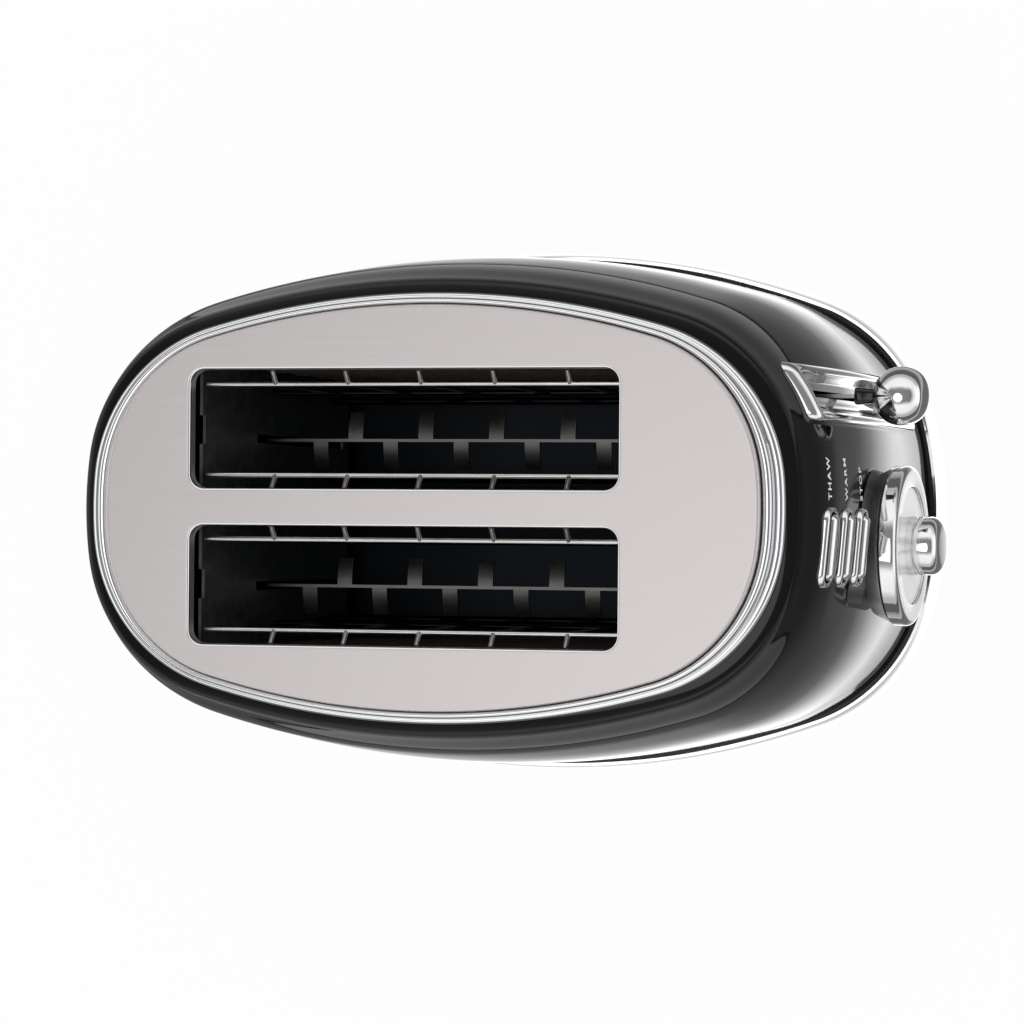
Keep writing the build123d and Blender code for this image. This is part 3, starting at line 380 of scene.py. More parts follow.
# Ceramic-filled plastic: off-white with a fine mottle of about 1 mm
ceramic, tree, surface, place = start_material("white_terminal_plastic", Roughness=0.5)
speck = add(tree, "ShaderNodeTexNoise", {"Vector": place, "Scale": 1 / 0.001})
tone(tree, surface, speck.outputs["Fac"], "#d9d7d0", "#eceae4")
dress(ceramic, "terminal_block")

# Body shell
# One deep-drawn steel shell, flared to the foot and rolled in at the shoulder, with a
# flange under the top plate. It is sprayed with gloss black enamel and baked.
body_oval = (0.1305, 0.085, 0.290, 0.066, 0.140)
wall_flare = [(0.0, 3.8), (0.295, 2.4), (0.55, 0.0), (0.775, -4.0), (0.91, -7.8), (0.975, -11.3)]
wall_flare.append((1.0, -14.0))
flange_width = 0.009
shell_wall = 0.0016
curl_height = 0.036
curl_most = 0.0026
ledge_least = 0.0013
ledge_step = 0.0002
curl_blend = 6
wall_steps = 96
shell_low, shell_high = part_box("body_shell")


def smooth_line(points, count):
    """Points on a smooth curve through the given ones, level at its end."""
    known = np.array(points)
    reach = np.concatenate([[0], np.cumsum(np.hypot(*np.diff(known, axis=0).T))])
    size = len(known)
    matrix = np.zeros((size, size))
    right = np.zeros((size, 2))
    gaps = np.diff(reach)
    matrix[0, 0] = 1
    right[0] = (known[1] - known[0]) / gaps[0]
    for i in range(1, size - 1):
        matrix[i, i - 1] = 1 / gaps[i - 1]
        matrix[i, i] = 2 / gaps[i - 1] + 2 / gaps[i]
        matrix[i, i + 1] = 1 / gaps[i]
        before = (known[i] - known[i - 1]) / gaps[i - 1] ** 2
        right[i] = 3 * (before + (known[i + 1] - known[i]) / gaps[i] ** 2)
    matrix[-1, -1] = 1
    right[-1] = (-1, 0)
    slopes = np.linalg.solve(matrix, right)
    line = []
    for reached in np.linspace(0, reach[-1], count + 1):
        i = min(int(np.searchsorted(reach, reached, side="right")) - 1, size - 2)
        t = (reached - reach[i]) / gaps[i]
        point = known[i] * (1 + 2 * t) * (1 - t) ** 2 + known[i + 1] * t * t * (3 - 2 * t)
        point = point + gaps[i] * (slopes[i] * t * (1 - t) ** 2 - slopes[i + 1] * t * t * (1 - t))
        line.append((float(point[0]), float(point[1])))
    return line


shell_height = shell_high.z - shell_low.z
wall_points = [(out / 1000, shell_low.z + share * shell_height) for share, out in wall_flare]
wall_line = smooth_line(wall_points, wall_steps)
shoulder = wall_line[-1][0]
shell_profile = list(wall_line)
shell_profile.append((shoulder - flange_width, shell_high.z))
shell_profile.append((shoulder - flange_width, shell_high.z - shell_wall))
for i in range(wall_steps, -1, -6):
    ahead = wall_line[min(i + 1, wall_steps)]
    behind = wall_line[max(i - 1, 0)]
    run = hypot(ahead[0] - behind[0], ahead[1] - behind[1])
    inward_x = -(ahead[1] - behind[1]) / run
    inward_z = (ahead[0] - behind[0]) / run
    out, height = wall_line[i]
    shell_profile.append((out + shell_wall * inward_x, max(height + shell_wall * inward_z, shell_low.z)))
body_ring = oval_ring(body_oval, 0.002)
skirt_line = oval_ring(base_oval, ledge_step)
skirt_edge = np.array([(x + a * skirt_inside, y + b * skirt_inside) for x, y, a, b in skirt_line])
curls = []
for x, y, out_x, out_y in body_ring:
    foot = (x + out_x * wall_line[0][0], y + out_y * wall_line[0][0])
    ledge = float(np.min(np.hypot(*(skirt_edge - foot).T)))
    curls.append(min(max(ledge - ledge_least, 0.0), curl_most))
near = range(-curl_blend, curl_blend + 1)
curls = [float(np.mean([curls[(i + k) % len(curls)] for k in near])) for i in range(len(curls))]


def on_body(turn, step):
    """As along the oval, with the foot curled out over the ledge."""
    x, y, out_x, out_y = body_ring[turn]
    rise = max(0.0, 1 - (step[1] - shell_low.z) / curl_height)
    out = step[0] + curls[turn] * rise**2
    return Vector((middle_x + x + out_x * out, y + out_y * out, step[1]))


shell = drawn("enamelled_body", len(body_ring), on_body, shell_profile, closed=True)


def front_x(y, z):
    """X of the front wall's outer face at a side place and a height."""
    side_y, end_x, corner_x, corner_y, side_turn, end_turn = oval_arcs(body_oval)
    out = float(np.interp(z, [point[1] for point in wall_line], [point[0] for point in wall_line]))
    if abs(y) <= (body_oval[4] + out) * sin(end_turn):
        return middle_x + end_x + sqrt((body_oval[4] + out) ** 2 - y**2)
    return middle_x + corner_x + sqrt((body_oval[3] + out) ** 2 - (abs(y) - corner_y) ** 2)


bezel_low, bezel_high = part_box("lever_bezel")
window_inset = 0.0016
wall_depth = 0.03
cut(
    shell,
    (bezel_low.x - wall_depth, bezel_low.y + window_inset, bezel_low.z + window_inset),
    (bezel_high.x + wall_depth, bezel_high.y - window_inset, bezel_high.z - window_inset),
)

# Baked enamel: deep black under a clear skin, with a very slight ripple of about 8 mm and
# faint wiping haze in patches of about 40 mm
enamel, tree, surface, place = start_material("baked_black_enamel", IOR=1.42)
ripple = add(tree, "ShaderNodeTexNoise", {"Vector": place, "Scale": 1 / 0.008})
ripple_bump = add(tree, "ShaderNodeBump", {"Height": ripple.outputs["Fac"], "Distance": 0.000006})
haze = add(tree, "ShaderNodeTexNoise", {"Vector": place, "Scale": 1 / 0.04, "Detail": 5.0})
roughen(tree, surface, haze.outputs["Fac"], 0.03, 0.08)
tone(tree, surface, haze.outputs["Fac"], "#050506", "#0a0a0b")
tree.links.new(ripple_bump.outputs["Normal"], surface.inputs["Normal"])
put(tidy(shell), "body_shell", "housing", enamel)

# Lever bezel
# A chromed die-cast trough round the lever's slot, with a raised rounded rim and walls that
# slope down to the slot. It sits in a window of the body and is clipped from inside.
bezel_corner = 0.003
bezel_profile = [
    (0.0, -0.5), (0.05, 0.8), (0.25, 2.0), (0.6, 2.9), (1.1, 3.5), (1.7, 3.8), (2.2, 3.75), (2.7, 3.4),
    (3.1, 2.8), (3.5, 2.0), (5.5, -1.8), (5.9, -2.25), (6.4, -2.4), (8.3, -2.4), (8.3, -3.2),
]
bezel_points = 144
slot_half = 0.0011
slot_low_z = 0.0585
slot_high_z = 0.1595
lever_side = (bezel_low.y + bezel_high.y) / 2
bezel_reach = (bezel_high.y - bezel_low.y) / 2 - slot_half


def rounded_box(low_y, high_y, low_z, high_z, corner, count):
    """Points round an upright box with rounded corners."""
    straight_y = high_y - low_y - 2 * corner
    straight_z = high_z - low_z - 2 * corner
    pieces = (
        (high_y - corner, high_z - corner, 0.0, straight_y),
        (low_y + corner, high_z - corner, pi / 2, straight_z),
        (low_y + corner, low_z + corner, pi, straight_y),
        (high_y - corner, low_z + corner, 3 * pi / 2, straight_z),
    )
    points = []
    each = count // 4
    for y, z, first, straight in pieces:
        bend = each // 3
        for i in range(bend):
            turn = first + pi / 2 * i / (bend - 1)
            points.append((y + corner * cos(turn), z + corner * sin(turn)))
        last_y, last_z = points[-1]
        way_y, way_z = -cos(first), -sin(first)
        for i in range(1, each - bend + 1):
            share = straight * i / (each - bend + 1)
            points.append((last_y + way_y * share, last_z + way_z * share))
    return points


outer_box = rounded_box(bezel_low.y, bezel_high.y, bezel_low.z, bezel_high.z, bezel_corner, bezel_points)
inner_box = rounded_box(
    lever_side - slot_half, lever_side + slot_half, slot_low_z, slot_high_z, slot_half / 2, bezel_points
)


def on_bezel(turn, step):
    """A point of the frame, between its outer edge and the slot, above the wall."""
    share = step[0] / 1000 / bezel_reach
    rise = step[1] / 1000
    y = outer_box[turn][0] * (1 - share) + inner_box[turn][0] * share
    z = outer_box[turn][1] * (1 - share) + inner_box[turn][1] * share
    return Vector((front_x(y, z) + rise, y, z))


bezel = drawn("lever_frame", bezel_points, on_bezel, bezel_profile)
put(tidy(bezel, 70), "lever_bezel", "housing", chrome)

# Lever neck
# A short black stem between the lever's arm and the ball, moulded with a slight waist and
# polished.
# Polished plastic: black and glossy, with faint moulding flow of about 4 mm
glossy, tree, surface, place = start_material("polished_black_plastic", IOR=1.5)
flow = add(tree, "ShaderNodeTexNoise", {"Vector": place, "Scale": 1 / 0.004})
roughen(tree, surface, flow.outputs["Fac"], 0.1, 0.2)
tone(tree, surface, flow.outputs["Fac"], "#050505", "#0b0b0c")
neck_low, neck_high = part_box("lever_neck")
neck_middle = (neck_low + neck_high) / 2
neck_half = (neck_high - neck_low) / 2
neck_points = 64
neck_waist = 0.14
neck_edge = 0.88
neck_profile = [(0.0, -1.0), (0.8, -1.0), (0.93, -0.97), (1.0, -neck_edge)]
for i in range(1, 12):
    share = -neck_edge + 2 * neck_edge * i / 12
    neck_profile.append((1.0 - neck_waist * cos(pi / 2 * share / neck_edge) ** 2, share))
neck_profile += [(1.0, neck_edge), (0.93, 0.97), (0.8, 1.0), (0.0, 1.0)]


def on_neck(turn, step):
    """Where a profile point of (share of the half size, share of the half length) lies."""
    angle = 2 * pi * turn / neck_points
    side, rise = cos(angle), sin(angle)
    square = (abs(side) ** 4 + abs(rise) ** 4) ** -0.25
    y = neck_half.y * step[0] * side * square
    z = neck_half.z * step[0] * rise * square
    return neck_middle + Vector((neck_half.x * step[1], y, z))


neck = drawn("lever_stem", neck_points, on_neck, neck_profile)
put(tidy(neck, 50), "lever_neck", "carriage", glossy)

# Lever knob
# A chromed ball with a small flat at its outer end, pushed onto the black neck. It is
# turned from bar and plated.
knob_low, knob_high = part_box("lever_knob")
knob_radius = (knob_high.y - knob_low.y) / 2
flat_reach = 0.0088
knob_centre = (knob_low + knob_high) / 2
knob_centre.x = knob_high.x - flat_reach
flat_start = 0.55
knob_points = 96
first_turn = radians(172)
knob_profile = [(0.0, knob_radius * cos(first_turn))]
for i in range(65):
    turn = first_turn * (1 - i / 64)
    share = max(0.0, (cos(turn) - flat_start) / (1 - flat_start))
    reach = knob_radius * cos(turn) - (knob_radius - flat_reach) * share**2
    knob_profile.append((knob_radius * sin(turn), reach))


def round_x(centre, count):
    """Where a profile point of (radius, reach) lies on a piece turned about X."""
    def place(turn, step):
        angle = 2 * pi * turn / count
        return centre + Vector((step[1], step[0] * cos(angle), step[0] * sin(angle)))
    return place


knob = drawn("lever_ball", knob_points, round_x(knob_centre, knob_points), knob_profile)
put(tidy(knob, 40), "lever_knob", "carriage", chrome)

# Push buttons
# Three chromed pills in chromed rims, with the groove walls painted black as painted shade in the grooves.
# Each rim is clipped into the wall and each pill runs in it on a stem to its switch.
rim_length = 0.0256
rim_height = 0.0090
rim_wall = 0.0017
rim_profile = [(0.0, -0.0004), (0.0, 0.0006), (0.0002, 0.0012), (0.0005, 0.0015), (0.00085, 0.0016)]
rim_profile += [(0.0012, 0.0015), (0.0015, 0.0012), (rim_wall, 0.0006), (rim_wall, -0.003)]
pill_points = 96
pill_play = 0.0006
pill_proud = 0.0030
pill_foot = 0.0008
painted_groove_margin = 0.0003
painted_side_slant = 0.25
rims_low, rims_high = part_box("button_rims")
button_side = (rims_low.y + rims_high.y) / 2


def pill_point(turn, inset, length, height, centre_z):
    """A point of a pill's outline that lies along Y, drawn in by inset."""
    radius = max(height / 2 - inset, 0.0)
    straight = (length - height) / 2
    half = pill_points // 2
    side = 1 if turn < half else -1
    angle = pi * (turn % half) / (half - 1) - pi / 2
    return button_side + side * (straight + radius * cos(angle)), centre_z + side * radius * sin(angle)


def on_wall(length, height, centre_z):
    """Where a profile point of (inset, rise) lies on a pill that follows the wall."""
    def place(turn, step):
        y, z = pill_point(turn, step[0], length, height, centre_z)
        return Vector((front_x(y, z) + step[1], y, z))
    return place


for key in ("defrost", "reheat", "cancel"):
    key_low, key_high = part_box(f"{key}_button")
    key_z = (key_low.z + key_high.z) / 2
    rim = drawn(f"{key}_rim", pill_points, on_wall(rim_length, rim_height, key_z), rim_profile)
    tidy(rim, 60)
    put(rim, "button_rims", "housing", chrome)
    # Painted shade: the rim's faces round the groove take the black plastic, standing for the shade in the
    # groove
    rim.data.materials.append(abs_black)
    for face in rim.data.polygons:
        along = max(abs(face.center.y - button_side) - (rim_length - rim_height) / 2, 0)
        if hypot(along, face.center.z - key_z) < rim_height / 2 - rim_wall + painted_groove_margin:
            face.material_index = 1
    cap_length = rim_length - 2 * rim_wall - 2 * pill_play
    cap_height = rim_height - 2 * rim_wall - 2 * pill_play
    cap_profile = [(0.0, -0.005), (0.0, pill_foot)]
    for i in range(1, 13):
        turn = pi / 2 * i / 12
        rise = pill_foot + (pill_proud - pill_foot) * sin(turn)
        cap_profile.append((cap_height / 2 * (1 - cos(turn)), rise))
    cap = drawn(f"{key}_pill", pill_points, on_wall(cap_length, cap_height, key_z), cap_profile)
    put(tidy(cap, 60), f"{key}_button", f"{key}_key", chrome)
    # Painted shade: the pill's steep sides take the black plastic, standing for the shade in the groove
    cap.data.materials.append(abs_black)
    for face in cap.data.polygons:
        if abs(face.normal.x) < painted_side_slant:
            face.material_index = 1

# Button words
# Short plain words printed in white beside the buttons. The ink is screen-printed on the
# enamel and stands just proud of it.
# Screen ink: matt white, slightly uneven over about 0.7 mm
ink, tree, surface, place = start_material("white_screen_ink", Roughness=0.6)
ink_patch = add(tree, "ShaderNodeTexNoise", {"Vector": place, "Scale": 1 / 0.0007})
tone(tree, surface, ink_patch.outputs["Fac"], "#e4e4e4", "#f6f6f6")
word_height = 0.0027
word_gap = 0.0022
ink_rise = 0.0001
stroke_gain = 0.00008
capital_share = 0.7
letter_space = 1.3
for key, word in (("defrost", "THAW"), ("reheat", "WARM"), ("cancel", "STOP")):
    key_low, key_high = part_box(f"{key}_button")
    key_z = (key_low.z + key_high.z) / 2
    bpy.ops.object.select_all(action="DESELECT")
    bpy.ops.object.text_add()
    label = bpy.context.object
    label.name = f"{key}_word"
    label.data.body = word
    label.data.size = word_height / capital_share
    label.data.space_character = letter_space
    label.data.offset = stroke_gain
    bpy.ops.object.convert(target="MESH")
    for vert in label.data.vertices:
        y = rims_high.y + word_gap + vert.co.x
        z = key_z + vert.co.y - word_height / 2
        vert.co = Vector((front_x(y, z) + ink_rise, y, z))
    label.data.materials.clear()
    label.data.materials.append(ink)
    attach(label, "housing")

# Browning dial
# A fixed bright collar on the wall, and a turning disc with a spun face and a grip. The
# disc and the grip are turned and plated, and share one shaft.
dial_tilt = radians(4.0)
dial_axis = Vector((cos(dial_tilt), 0, sin(dial_tilt)))
dial_across = Vector((0, 1, 0))
dial_up = dial_axis.cross(dial_across)
dial_joint = next(joint for joint in frame["joints"] if joint["name"] == "dial_turn")
dial_centre = Vector(dial_joint["pos_m"])
dial_points = 160


def round_dial(turn, step):
    """Where a profile point of (radius, reach) lies on a piece turned about the dial's axis."""
    angle = 2 * pi * turn / dial_points
    side = dial_across * cos(angle) + dial_up * sin(angle)
    return dial_centre + dial_axis * step[1] + side * step[0]


collar_profile = [(0.0120, -0.0022), (0.0232, -0.0022), (0.0255, 0.0026), (0.0256, 0.0030), (0.0253, 0.0032)]
collar_profile.append((0.0120, 0.0032))
collar = drawn("dial_collar", dial_points, round_dial, collar_profile, closed=True)
# Satin chrome: fine-blasted before plating, so bright but soft, with a grain of about 0.5 mm
frosted, tree, surface, place = start_material("satin_chrome", Metallic=1.0)
frost = add(tree, "ShaderNodeTexNoise", {"Vector": place, "Scale": 1 / 0.0005})
roughen(tree, surface, frost.outputs["Fac"], 0.28, 0.4)
tone(tree, surface, frost.outputs["Fac"], "#dcdce0", "#ececef")
put(tidy(collar), "dial_bezel", "housing", frosted)

shaft_hole = 0.0032
disc_back = 0.0035
disc_front = 0.0096
disc_edge = 0.0022
disc_radius = 0.0266
face_radius = 0.0196
face_recess = 0.0008
disc_profile = [(shaft_hole, disc_back), (disc_radius - 0.0006, disc_back), (disc_radius, disc_back + 0.0006)]
for i in range(13):
    turn = pi / 2 * i / 12
    disc_profile.append((disc_radius - disc_edge * (1 - cos(turn)), disc_front - disc_edge * (1 - sin(turn))))
disc_profile += [(face_radius + 0.0003, disc_front), (face_radius, disc_front - 0.0002)]
disc_profile += [(face_radius, disc_front - 0.0016), (shaft_hole, disc_front - 0.0016)]
disc = drawn("dial_wheel", dial_points, round_dial, disc_profile, closed=True)
put(tidy(disc), "dial_disc", "dial", chrome)

# Spun aluminium under a milky lacquer: satin, with circles about 0.4 mm apart round the axis
spun, tree, surface, place = start_material("lacquered_spun_aluminium", Metallic=0.1)
centred = add(tree, "ShaderNodeMapping", {"Vector": place})
centred.inputs["Location"].default_value = -dial_centre
circles = add(tree, "ShaderNodeTexWave", {"Vector": centred.outputs["Vector"], "Scale": 0.31 / 0.0004})
circles.wave_type = "RINGS"
circles.rings_direction = "X"
tone(tree, surface, circles.outputs["Fac"], "#f3f3f5", "#fcfcfd")
roughen(tree, surface, circles.outputs["Fac"], 0.22, 0.32)
disc.data.materials.append(spun)
for face in disc.data.polygons:
    if face.normal.dot(dial_axis) > 0.98:
        face.material_index = 1
inlay_top = disc_front - face_recess
inlay_profile = [(shaft_hole, inlay_top - 0.0008), (face_radius - 0.0002, inlay_top - 0.0008)]
inlay_profile += [(face_radius - 0.0002, inlay_top - 0.0002), (face_radius - 0.0004, inlay_top)]
inlay_profile.append((shaft_hole, inlay_top))
inlay = drawn("dial_face", dial_points, round_dial, inlay_profile, closed=True)
put(tidy(inlay), "dial_inlay", "dial", spun)

grip_radius = 0.0097
grip_end = inlay_top + 0.0108
grip_edge = 0.0040
groove = 0.0004
groove_width = 0.0008
grip_profile = [(0.0, inlay_top), (grip_radius, inlay_top)]
for reach in (0.0022, 0.0042):
    grip_profile.append((grip_radius, inlay_top + reach))
    grip_profile.append((grip_radius - groove, inlay_top + reach + groove_width / 4))
    grip_profile.append((grip_radius - groove, inlay_top + reach + groove_width * 3 / 4))
    grip_profile.append((grip_radius, inlay_top + reach + groove_width))
for i in range(15):
    turn = pi / 2 * i / 14
    grip_profile.append((grip_radius - grip_edge * (1 - cos(turn)), grip_end - grip_edge * (1 - sin(turn))))
grip_profile.append((0.0, grip_end))
grip = drawn("dial_knob", dial_points, round_dial, grip_profile)
put(tidy(grip, 30), "dial_grip", "dial", chrome)

# Top plate
# A satin stainless sheet with a small rolled edge and a bright rolled lip round each slot.
# It drops into the trim ring and is held by the shell's flange.
trim_oval = (0.1144, 0.0687, 0.267, 0.0546, 0.130)
plate_inset = 0.0069
side_inset = 0.0043
plate_roll = 0.0012
plate_drop = 0.0010
plate_low, plate_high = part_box("top_plate")
slot_length = 0.141
slot_width = 0.038
slot_pitch = 0.050
slot_shift = -0.008
slot_corner = 0.0046
lip = 0.0009
lip_depth = 0.005
lip_upright = 0.1
lip_level = 0.97
trim_path = oval_ring(trim_oval, 0.002)


def on_trim(turn, step):
    """As along the oval, with the offset less along the sides than at the ends."""
    x, y, out_x, out_y = trim_path[turn]
    offset = step[0] * (out_x**2 + out_y**2 * side_inset / plate_inset)
    return Vector((middle_x + x + out_x * offset, y + out_y * offset, step[1]))


plate_edge = [(-plate_inset - plate_roll - 0.0005, plate_high.z), (-plate_inset - plate_roll, plate_high.z)]
for i in range(1, 13):
    turn = pi / 2 * i / 12
    roll_height = plate_high.z - plate_drop * (1 - cos(turn))
    plate_edge.append((-plate_inset - plate_roll * (1 - sin(turn)), roll_height))
plate_edge.append((-plate_inset, plate_low.z))
edge = drawn("top_sheet", len(trim_path), on_trim, plate_edge)
slot_points = 128
slot_x = middle_x + slot_shift


def slot_ring(side):
    """Where a profile point of (outset, height) lies round one slot."""
    def place(turn, step):
        out = step[0]
        ring = rounded_box(
            slot_x - slot_length / 2 - out, slot_x + slot_length / 2 + out,
            side - slot_width / 2 - out, side + slot_width / 2 + out, slot_corner + out, slot_points,
        )
        return Vector((ring[turn][0], ring[turn][1], step[1]))
    return place


lip_profile = [(lip + 0.0004, plate_high.z), (lip, plate_high.z)]
for i in range(1, 7):
    turn = pi / 2 * i / 6
    lip_profile.append((lip * (1 - sin(turn)), plate_high.z - lip * (1 - cos(turn))))
lip_profile.append((0.0, plate_high.z - lip_depth))
parts = [edge]
for side in (slot_pitch / 2, -slot_pitch / 2):
    parts.append(drawn("slot_lip", slot_points, slot_ring(side), lip_profile))
bpy.ops.object.select_all(action="DESELECT")
for part in parts:
    part.select_set(True)
bpy.context.view_layer.objects.active = edge
bpy.ops.object.join()
bpy.ops.object.mode_set(mode="EDIT")
bpy.ops.mesh.select_mode(type="EDGE")
bpy.ops.mesh.select_all(action="DESELECT")
sheet = bmesh.from_edit_mesh(edge.data)
for line in sheet.edges:
    level = all(abs(vert.co.z - plate_high.z) < 1e-6 for vert in line.verts)
    line.select = level and line.is_boundary
bmesh.update_edit_mesh(edge.data)
bpy.ops.mesh.fill()
bpy.ops.mesh.select_mode(type="VERT")
bpy.ops.object.mode_set(mode="OBJECT")
# Satin stainless: warm grey, with brushed lines along the slots, drawn 0.5 mm apart to show
satin, tree, surface, place = start_material("satin_stainless", Metallic=1.0)
stretched = add(tree, "ShaderNodeMapping", {"Vector": place})
stretched.inputs["Scale"].default_value = (1 / 0.05, 1 / 0.0005, 1 / 0.0005)
brush = add(tree, "ShaderNodeTexNoise", {"Vector": stretched.outputs["Vector"], "Scale": 1.0, "Detail": 3.0})
tone(tree, surface, brush.outputs["Fac"], "#d3cdcc", "#e1dddc")
roughen(tree, surface, brush.outputs["Fac"], 0.38, 0.5)
put(tidy(edge, 30), "top_plate", "housing", satin)
edge.data.materials.append(chrome)
for face in edge.data.polygons:
    near_x = abs(face.center.x - slot_x) < slot_length / 2 + lip
    near_y = abs(abs(face.center.y) - slot_pitch / 2) < slot_width / 2 + lip
    if near_x and near_y and lip_upright < face.normal.z < lip_level:
        face.material_index = 1

# Top trim ring
# A chromed ring of two rounded beads with a groove between them, which stands on the
# shell's flange and frames the top plate.
trim_gap = 0.00025
inner_bead = 0.0017
outer_bead = 0.0021
bead_drop = 0.0016
trim_inner = -plate_inset + trim_gap
shell_top = ring_low.z
inner_middle = (trim_inner + inner_bead, plate_high.z - bead_drop - inner_bead)
outer_middle = (-outer_bead, shell_top + outer_bead)
trim_profile = [(trim_inner, shell_top)]
for i in range(15):
    turn = pi - i * pi / 14 * 1.25
    trim_profile.append((inner_middle[0] + inner_bead * cos(turn), inner_middle[1] + inner_bead * sin(turn)))
for i in range(17):
    turn = radians(125) - i * radians(215) / 16
    trim_profile.append((outer_middle[0] + outer_bead * cos(turn), outer_middle[1] + outer_bead * sin(turn)))
trim = drawn("top_beads", len(trim_path), on_trim, trim_profile, closed=True)
put(tidy(trim, 50), "top_trim_ring", "housing", chrome)

# Studio
# A white floor and walls with one soft light overhead, and a camera high above the control
# end. Mirrors see a pool of light on a table, and bright bands along the walls.
floor_size = 8.0
bpy.ops.object.select_all(action="DESELECT")
bpy.ops.mesh.primitive_plane_add(size=floor_size)
floor = bpy.context.object
floor.name = "studio_floor"
paper, tree, surface, place = start_material("white_paper_floor", Roughness=0.9)
surface.inputs["Base Color"].default_value = linear("#f4f4f4")
pool_scale = (1 / 0.1485, 1 / 0.0945, 0)
from_base = add(tree, "ShaderNodeMapping", {"Vector": place, "Scale": pool_scale})
from_base.inputs["Location"].default_value = (-0.0035 * pool_scale[0], 0, 0)
base_reach = add(tree, "ShaderNodeVectorMath", {0: from_base.outputs["Vector"]}, operation="LENGTH")
pool_share = add(tree, "ShaderNodeMapRange", {"Value": base_reach.outputs["Value"]})
pool_share.inputs["From Min"].default_value = 1.0
pool_share.inputs["From Max"].default_value = 2.0
pool = add(tree, "ShaderNodeValToRGB", {"Fac": pool_share.outputs["Result"]})
pool_levels = ((0.0, 1.0), (0.02, 0.9), (0.08, 0.6), (0.13, 0.38), (0.21, 0.18), (0.4, 0.08))
while len(pool.color_ramp.elements) < len(pool_levels):
    pool.color_ramp.elements.new(0.5)
for element, (share, level) in zip(pool.color_ramp.elements, pool_levels):
    element.position = share
    element.color = (level, level, level, 1)
table_scale = (1 / 0.47, 1 / 0.145, 0)
on_table = add(tree, "ShaderNodeMapping", {"Vector": place, "Scale": table_scale})
on_table.inputs["Location"].default_value = (-0.03 * table_scale[0], 0.02 * table_scale[1], 0)
spot = on_table.outputs[0]
squared = add(tree, "ShaderNodeVectorMath", {0: spot, 1: spot}, operation="MULTIPLY")
table_reach = add(tree, "ShaderNodeVectorMath", {0: squared.outputs[0]}, operation="LENGTH")
beyond = add(tree, "ShaderNodeMath", {0: table_reach.outputs["Value"], 1: 1.0}, operation="GREATER_THAN")
fading = add(tree, "ShaderNodeMapRange", {"Value": table_reach.outputs["Value"]})
fading.inputs["From Min"].default_value = 1.0
fading.inputs["From Max"].default_value = 5.0
fading.inputs["To Min"].default_value = 0.26
fading.inputs["To Max"].default_value = 0.06
spread = add(tree, "ShaderNodeMix", {0: beyond.outputs[0], 6: pool.outputs["Color"]}, data_type="RGBA")
tree.links.new(fading.outputs["Result"], spread.inputs[7])
edge_inputs = {0: table_reach.outputs["Value"], 1: 1.0, 2: 0.04}
table_edge = add(tree, "ShaderNodeMath", edge_inputs, operation="COMPARE")
lined = add(tree, "ShaderNodeMix", {0: table_edge.outputs[0], 6: spread.outputs[2]}, data_type="RGBA")
lined.inputs[7].default_value = (0.02, 0.02, 0.02, 1)
mirrored = add(tree, "ShaderNodeEmission", {"Color": lined.outputs[2], "Strength": 2.0})
white = add(tree, "ShaderNodeEmission", {"Color": (1, 1, 1, 1), "Strength": 1.0})
rays = add(tree, "ShaderNodeLightPath")
seen = add(tree, "ShaderNodeMath", {0: rays.outputs["Is Camera Ray"], 1: rays.outputs["Is Transmission Ray"]})
seen.operation = "MAXIMUM"
white_share = add(tree, "ShaderNodeMath", {0: seen.outputs[0], 1: 0.95}, operation="MULTIPLY")
plain_inputs = {0: white_share.outputs[0], 1: surface.outputs[0], 2: white.outputs[0]}
plain = add(tree, "ShaderNodeMixShader", plain_inputs)
whole = add(tree, "ShaderNodeMixShader", {0: rays.outputs["Is Glossy Ray"], 1: plain.outputs[0]})
tree.links.new(mirrored.outputs[0], whole.inputs[2])
tree.links.new(whole.outputs[0], tree.nodes["Material Output"].inputs["Surface"])
floor.data.materials.append(paper)

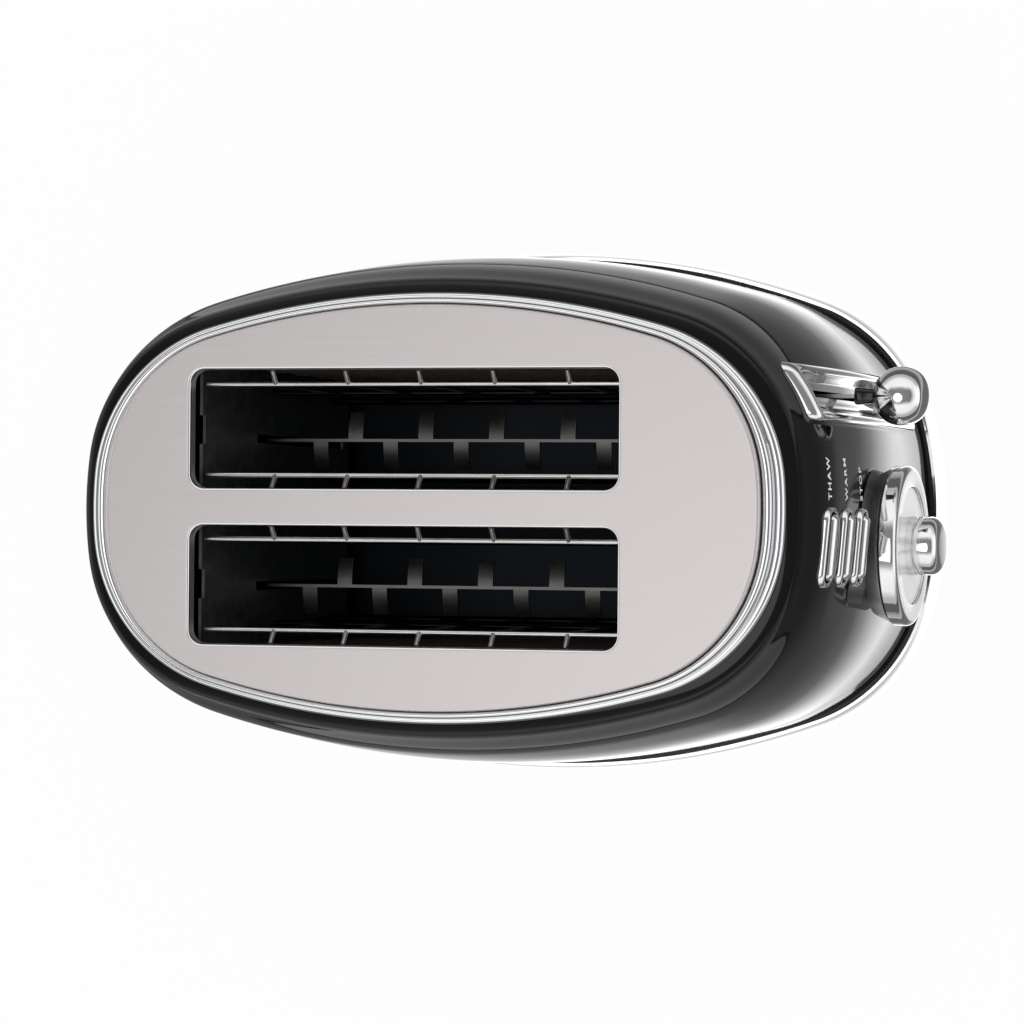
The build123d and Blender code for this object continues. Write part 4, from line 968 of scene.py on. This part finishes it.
world = bpy.data.worlds.new("studio")
bpy.context.scene.world = world
world.use_nodes = True
tree = world.node_tree
direction = add(tree, "ShaderNodeTexCoord").outputs["Generated"]
split = add(tree, "ShaderNodeSeparateXYZ", {0: direction})
sideways = add(tree, "ShaderNodeMath", {0: split.outputs["Y"]}, operation="ABSOLUTE")
side_share = add(tree, "ShaderNodeMapRange", {"Value": sideways.outputs[0]}, interpolation_type="SMOOTHSTEP")
side_share.inputs["From Min"].default_value = 0.3
side_share.inputs["From Max"].default_value = 0.65
end_levels = ((0.0, 1.2), (0.4, 1.2), (0.6, 0.8), (0.72, 0.2), (0.88, 0.24), (1.0, 0.26))
side_levels = ((0.0, 0.5), (0.15, 0.55), (0.35, 1.0), (0.78, 1.1), (0.86, 0.7), (0.94, 0.32), (1.0, 0.28))
walls = []
for levels in (end_levels, side_levels):
    wall = add(tree, "ShaderNodeValToRGB", {"Fac": split.outputs["Z"]})
    while len(wall.color_ramp.elements) < len(levels):
        wall.color_ramp.elements.new(0.5)
    for element, (height, level) in zip(wall.color_ramp.elements, levels):
        element.position = height
        element.color = (level, level, level, 1)
    walls.append(wall.outputs["Color"])
around = add(tree, "ShaderNodeMix", {0: side_share.outputs[0], 6: walls[0], 7: walls[1]}, data_type="RGBA")
rays = add(tree, "ShaderNodeLightPath")
mirror_side = add(tree, "ShaderNodeBackground", {"Color": around.outputs[2], "Strength": 1.0})
plain_side = add(tree, "ShaderNodeBackground", {"Color": (1, 1, 1, 1), "Strength": 0.85})
white_side = add(tree, "ShaderNodeBackground", {"Color": (1, 1, 1, 1), "Strength": 1.0})
sky = add(tree, "ShaderNodeMixShader", {0: rays.outputs["Is Glossy Ray"], 1: plain_side.outputs[0]})
tree.links.new(mirror_side.outputs[0], sky.inputs[2])
whole_sky = add(tree, "ShaderNodeMixShader", {0: rays.outputs["Is Camera Ray"], 1: sky.outputs[0]})
tree.links.new(white_side.outputs[0], whole_sky.inputs[2])
tree.links.new(whole_sky.outputs[0], tree.nodes["World Output"].inputs["Surface"])

bpy.ops.object.light_add(type="AREA", location=(-0.15, -0.25, 2.0))
lamp = bpy.context.object
lamp.name = "overhead_softbox"
lamp.data.shape = "DISK"
lamp.data.size = 1.2
lamp.data.energy = 5.0

bpy.context.scene.view_settings.view_transform = "Standard"
plate_centre = Vector((middle_x, 0, plate_high.z))
eye = plate_centre + Vector((0.319, -0.006, 1.100))
aim = plate_centre + Vector((0.0286, -0.0011, 0))
roll = radians(0.47)
camera_data = bpy.data.cameras.new("camera")
camera = bpy.data.objects.new("camera", camera_data)
bpy.context.scene.collection.objects.link(camera)
back = (eye - aim).normalized()
right = Vector((0, 1, 0)).cross(back).normalized()
up = back.cross(right)
right_rolled = right * cos(roll) + up * sin(roll)
up_rolled = up * cos(roll) - right * sin(roll)
for row in range(3):
    camera.matrix_world[row][0] = right_rolled[row]
    camera.matrix_world[row][1] = up_rolled[row]
    camera.matrix_world[row][2] = back[row]
    camera.matrix_world[row][3] = eye[row]
camera_data.sensor_width = 36
camera_data.lens = 127.6
camera_data.clip_start = 0.01
bpy.context.scene.camera = camera
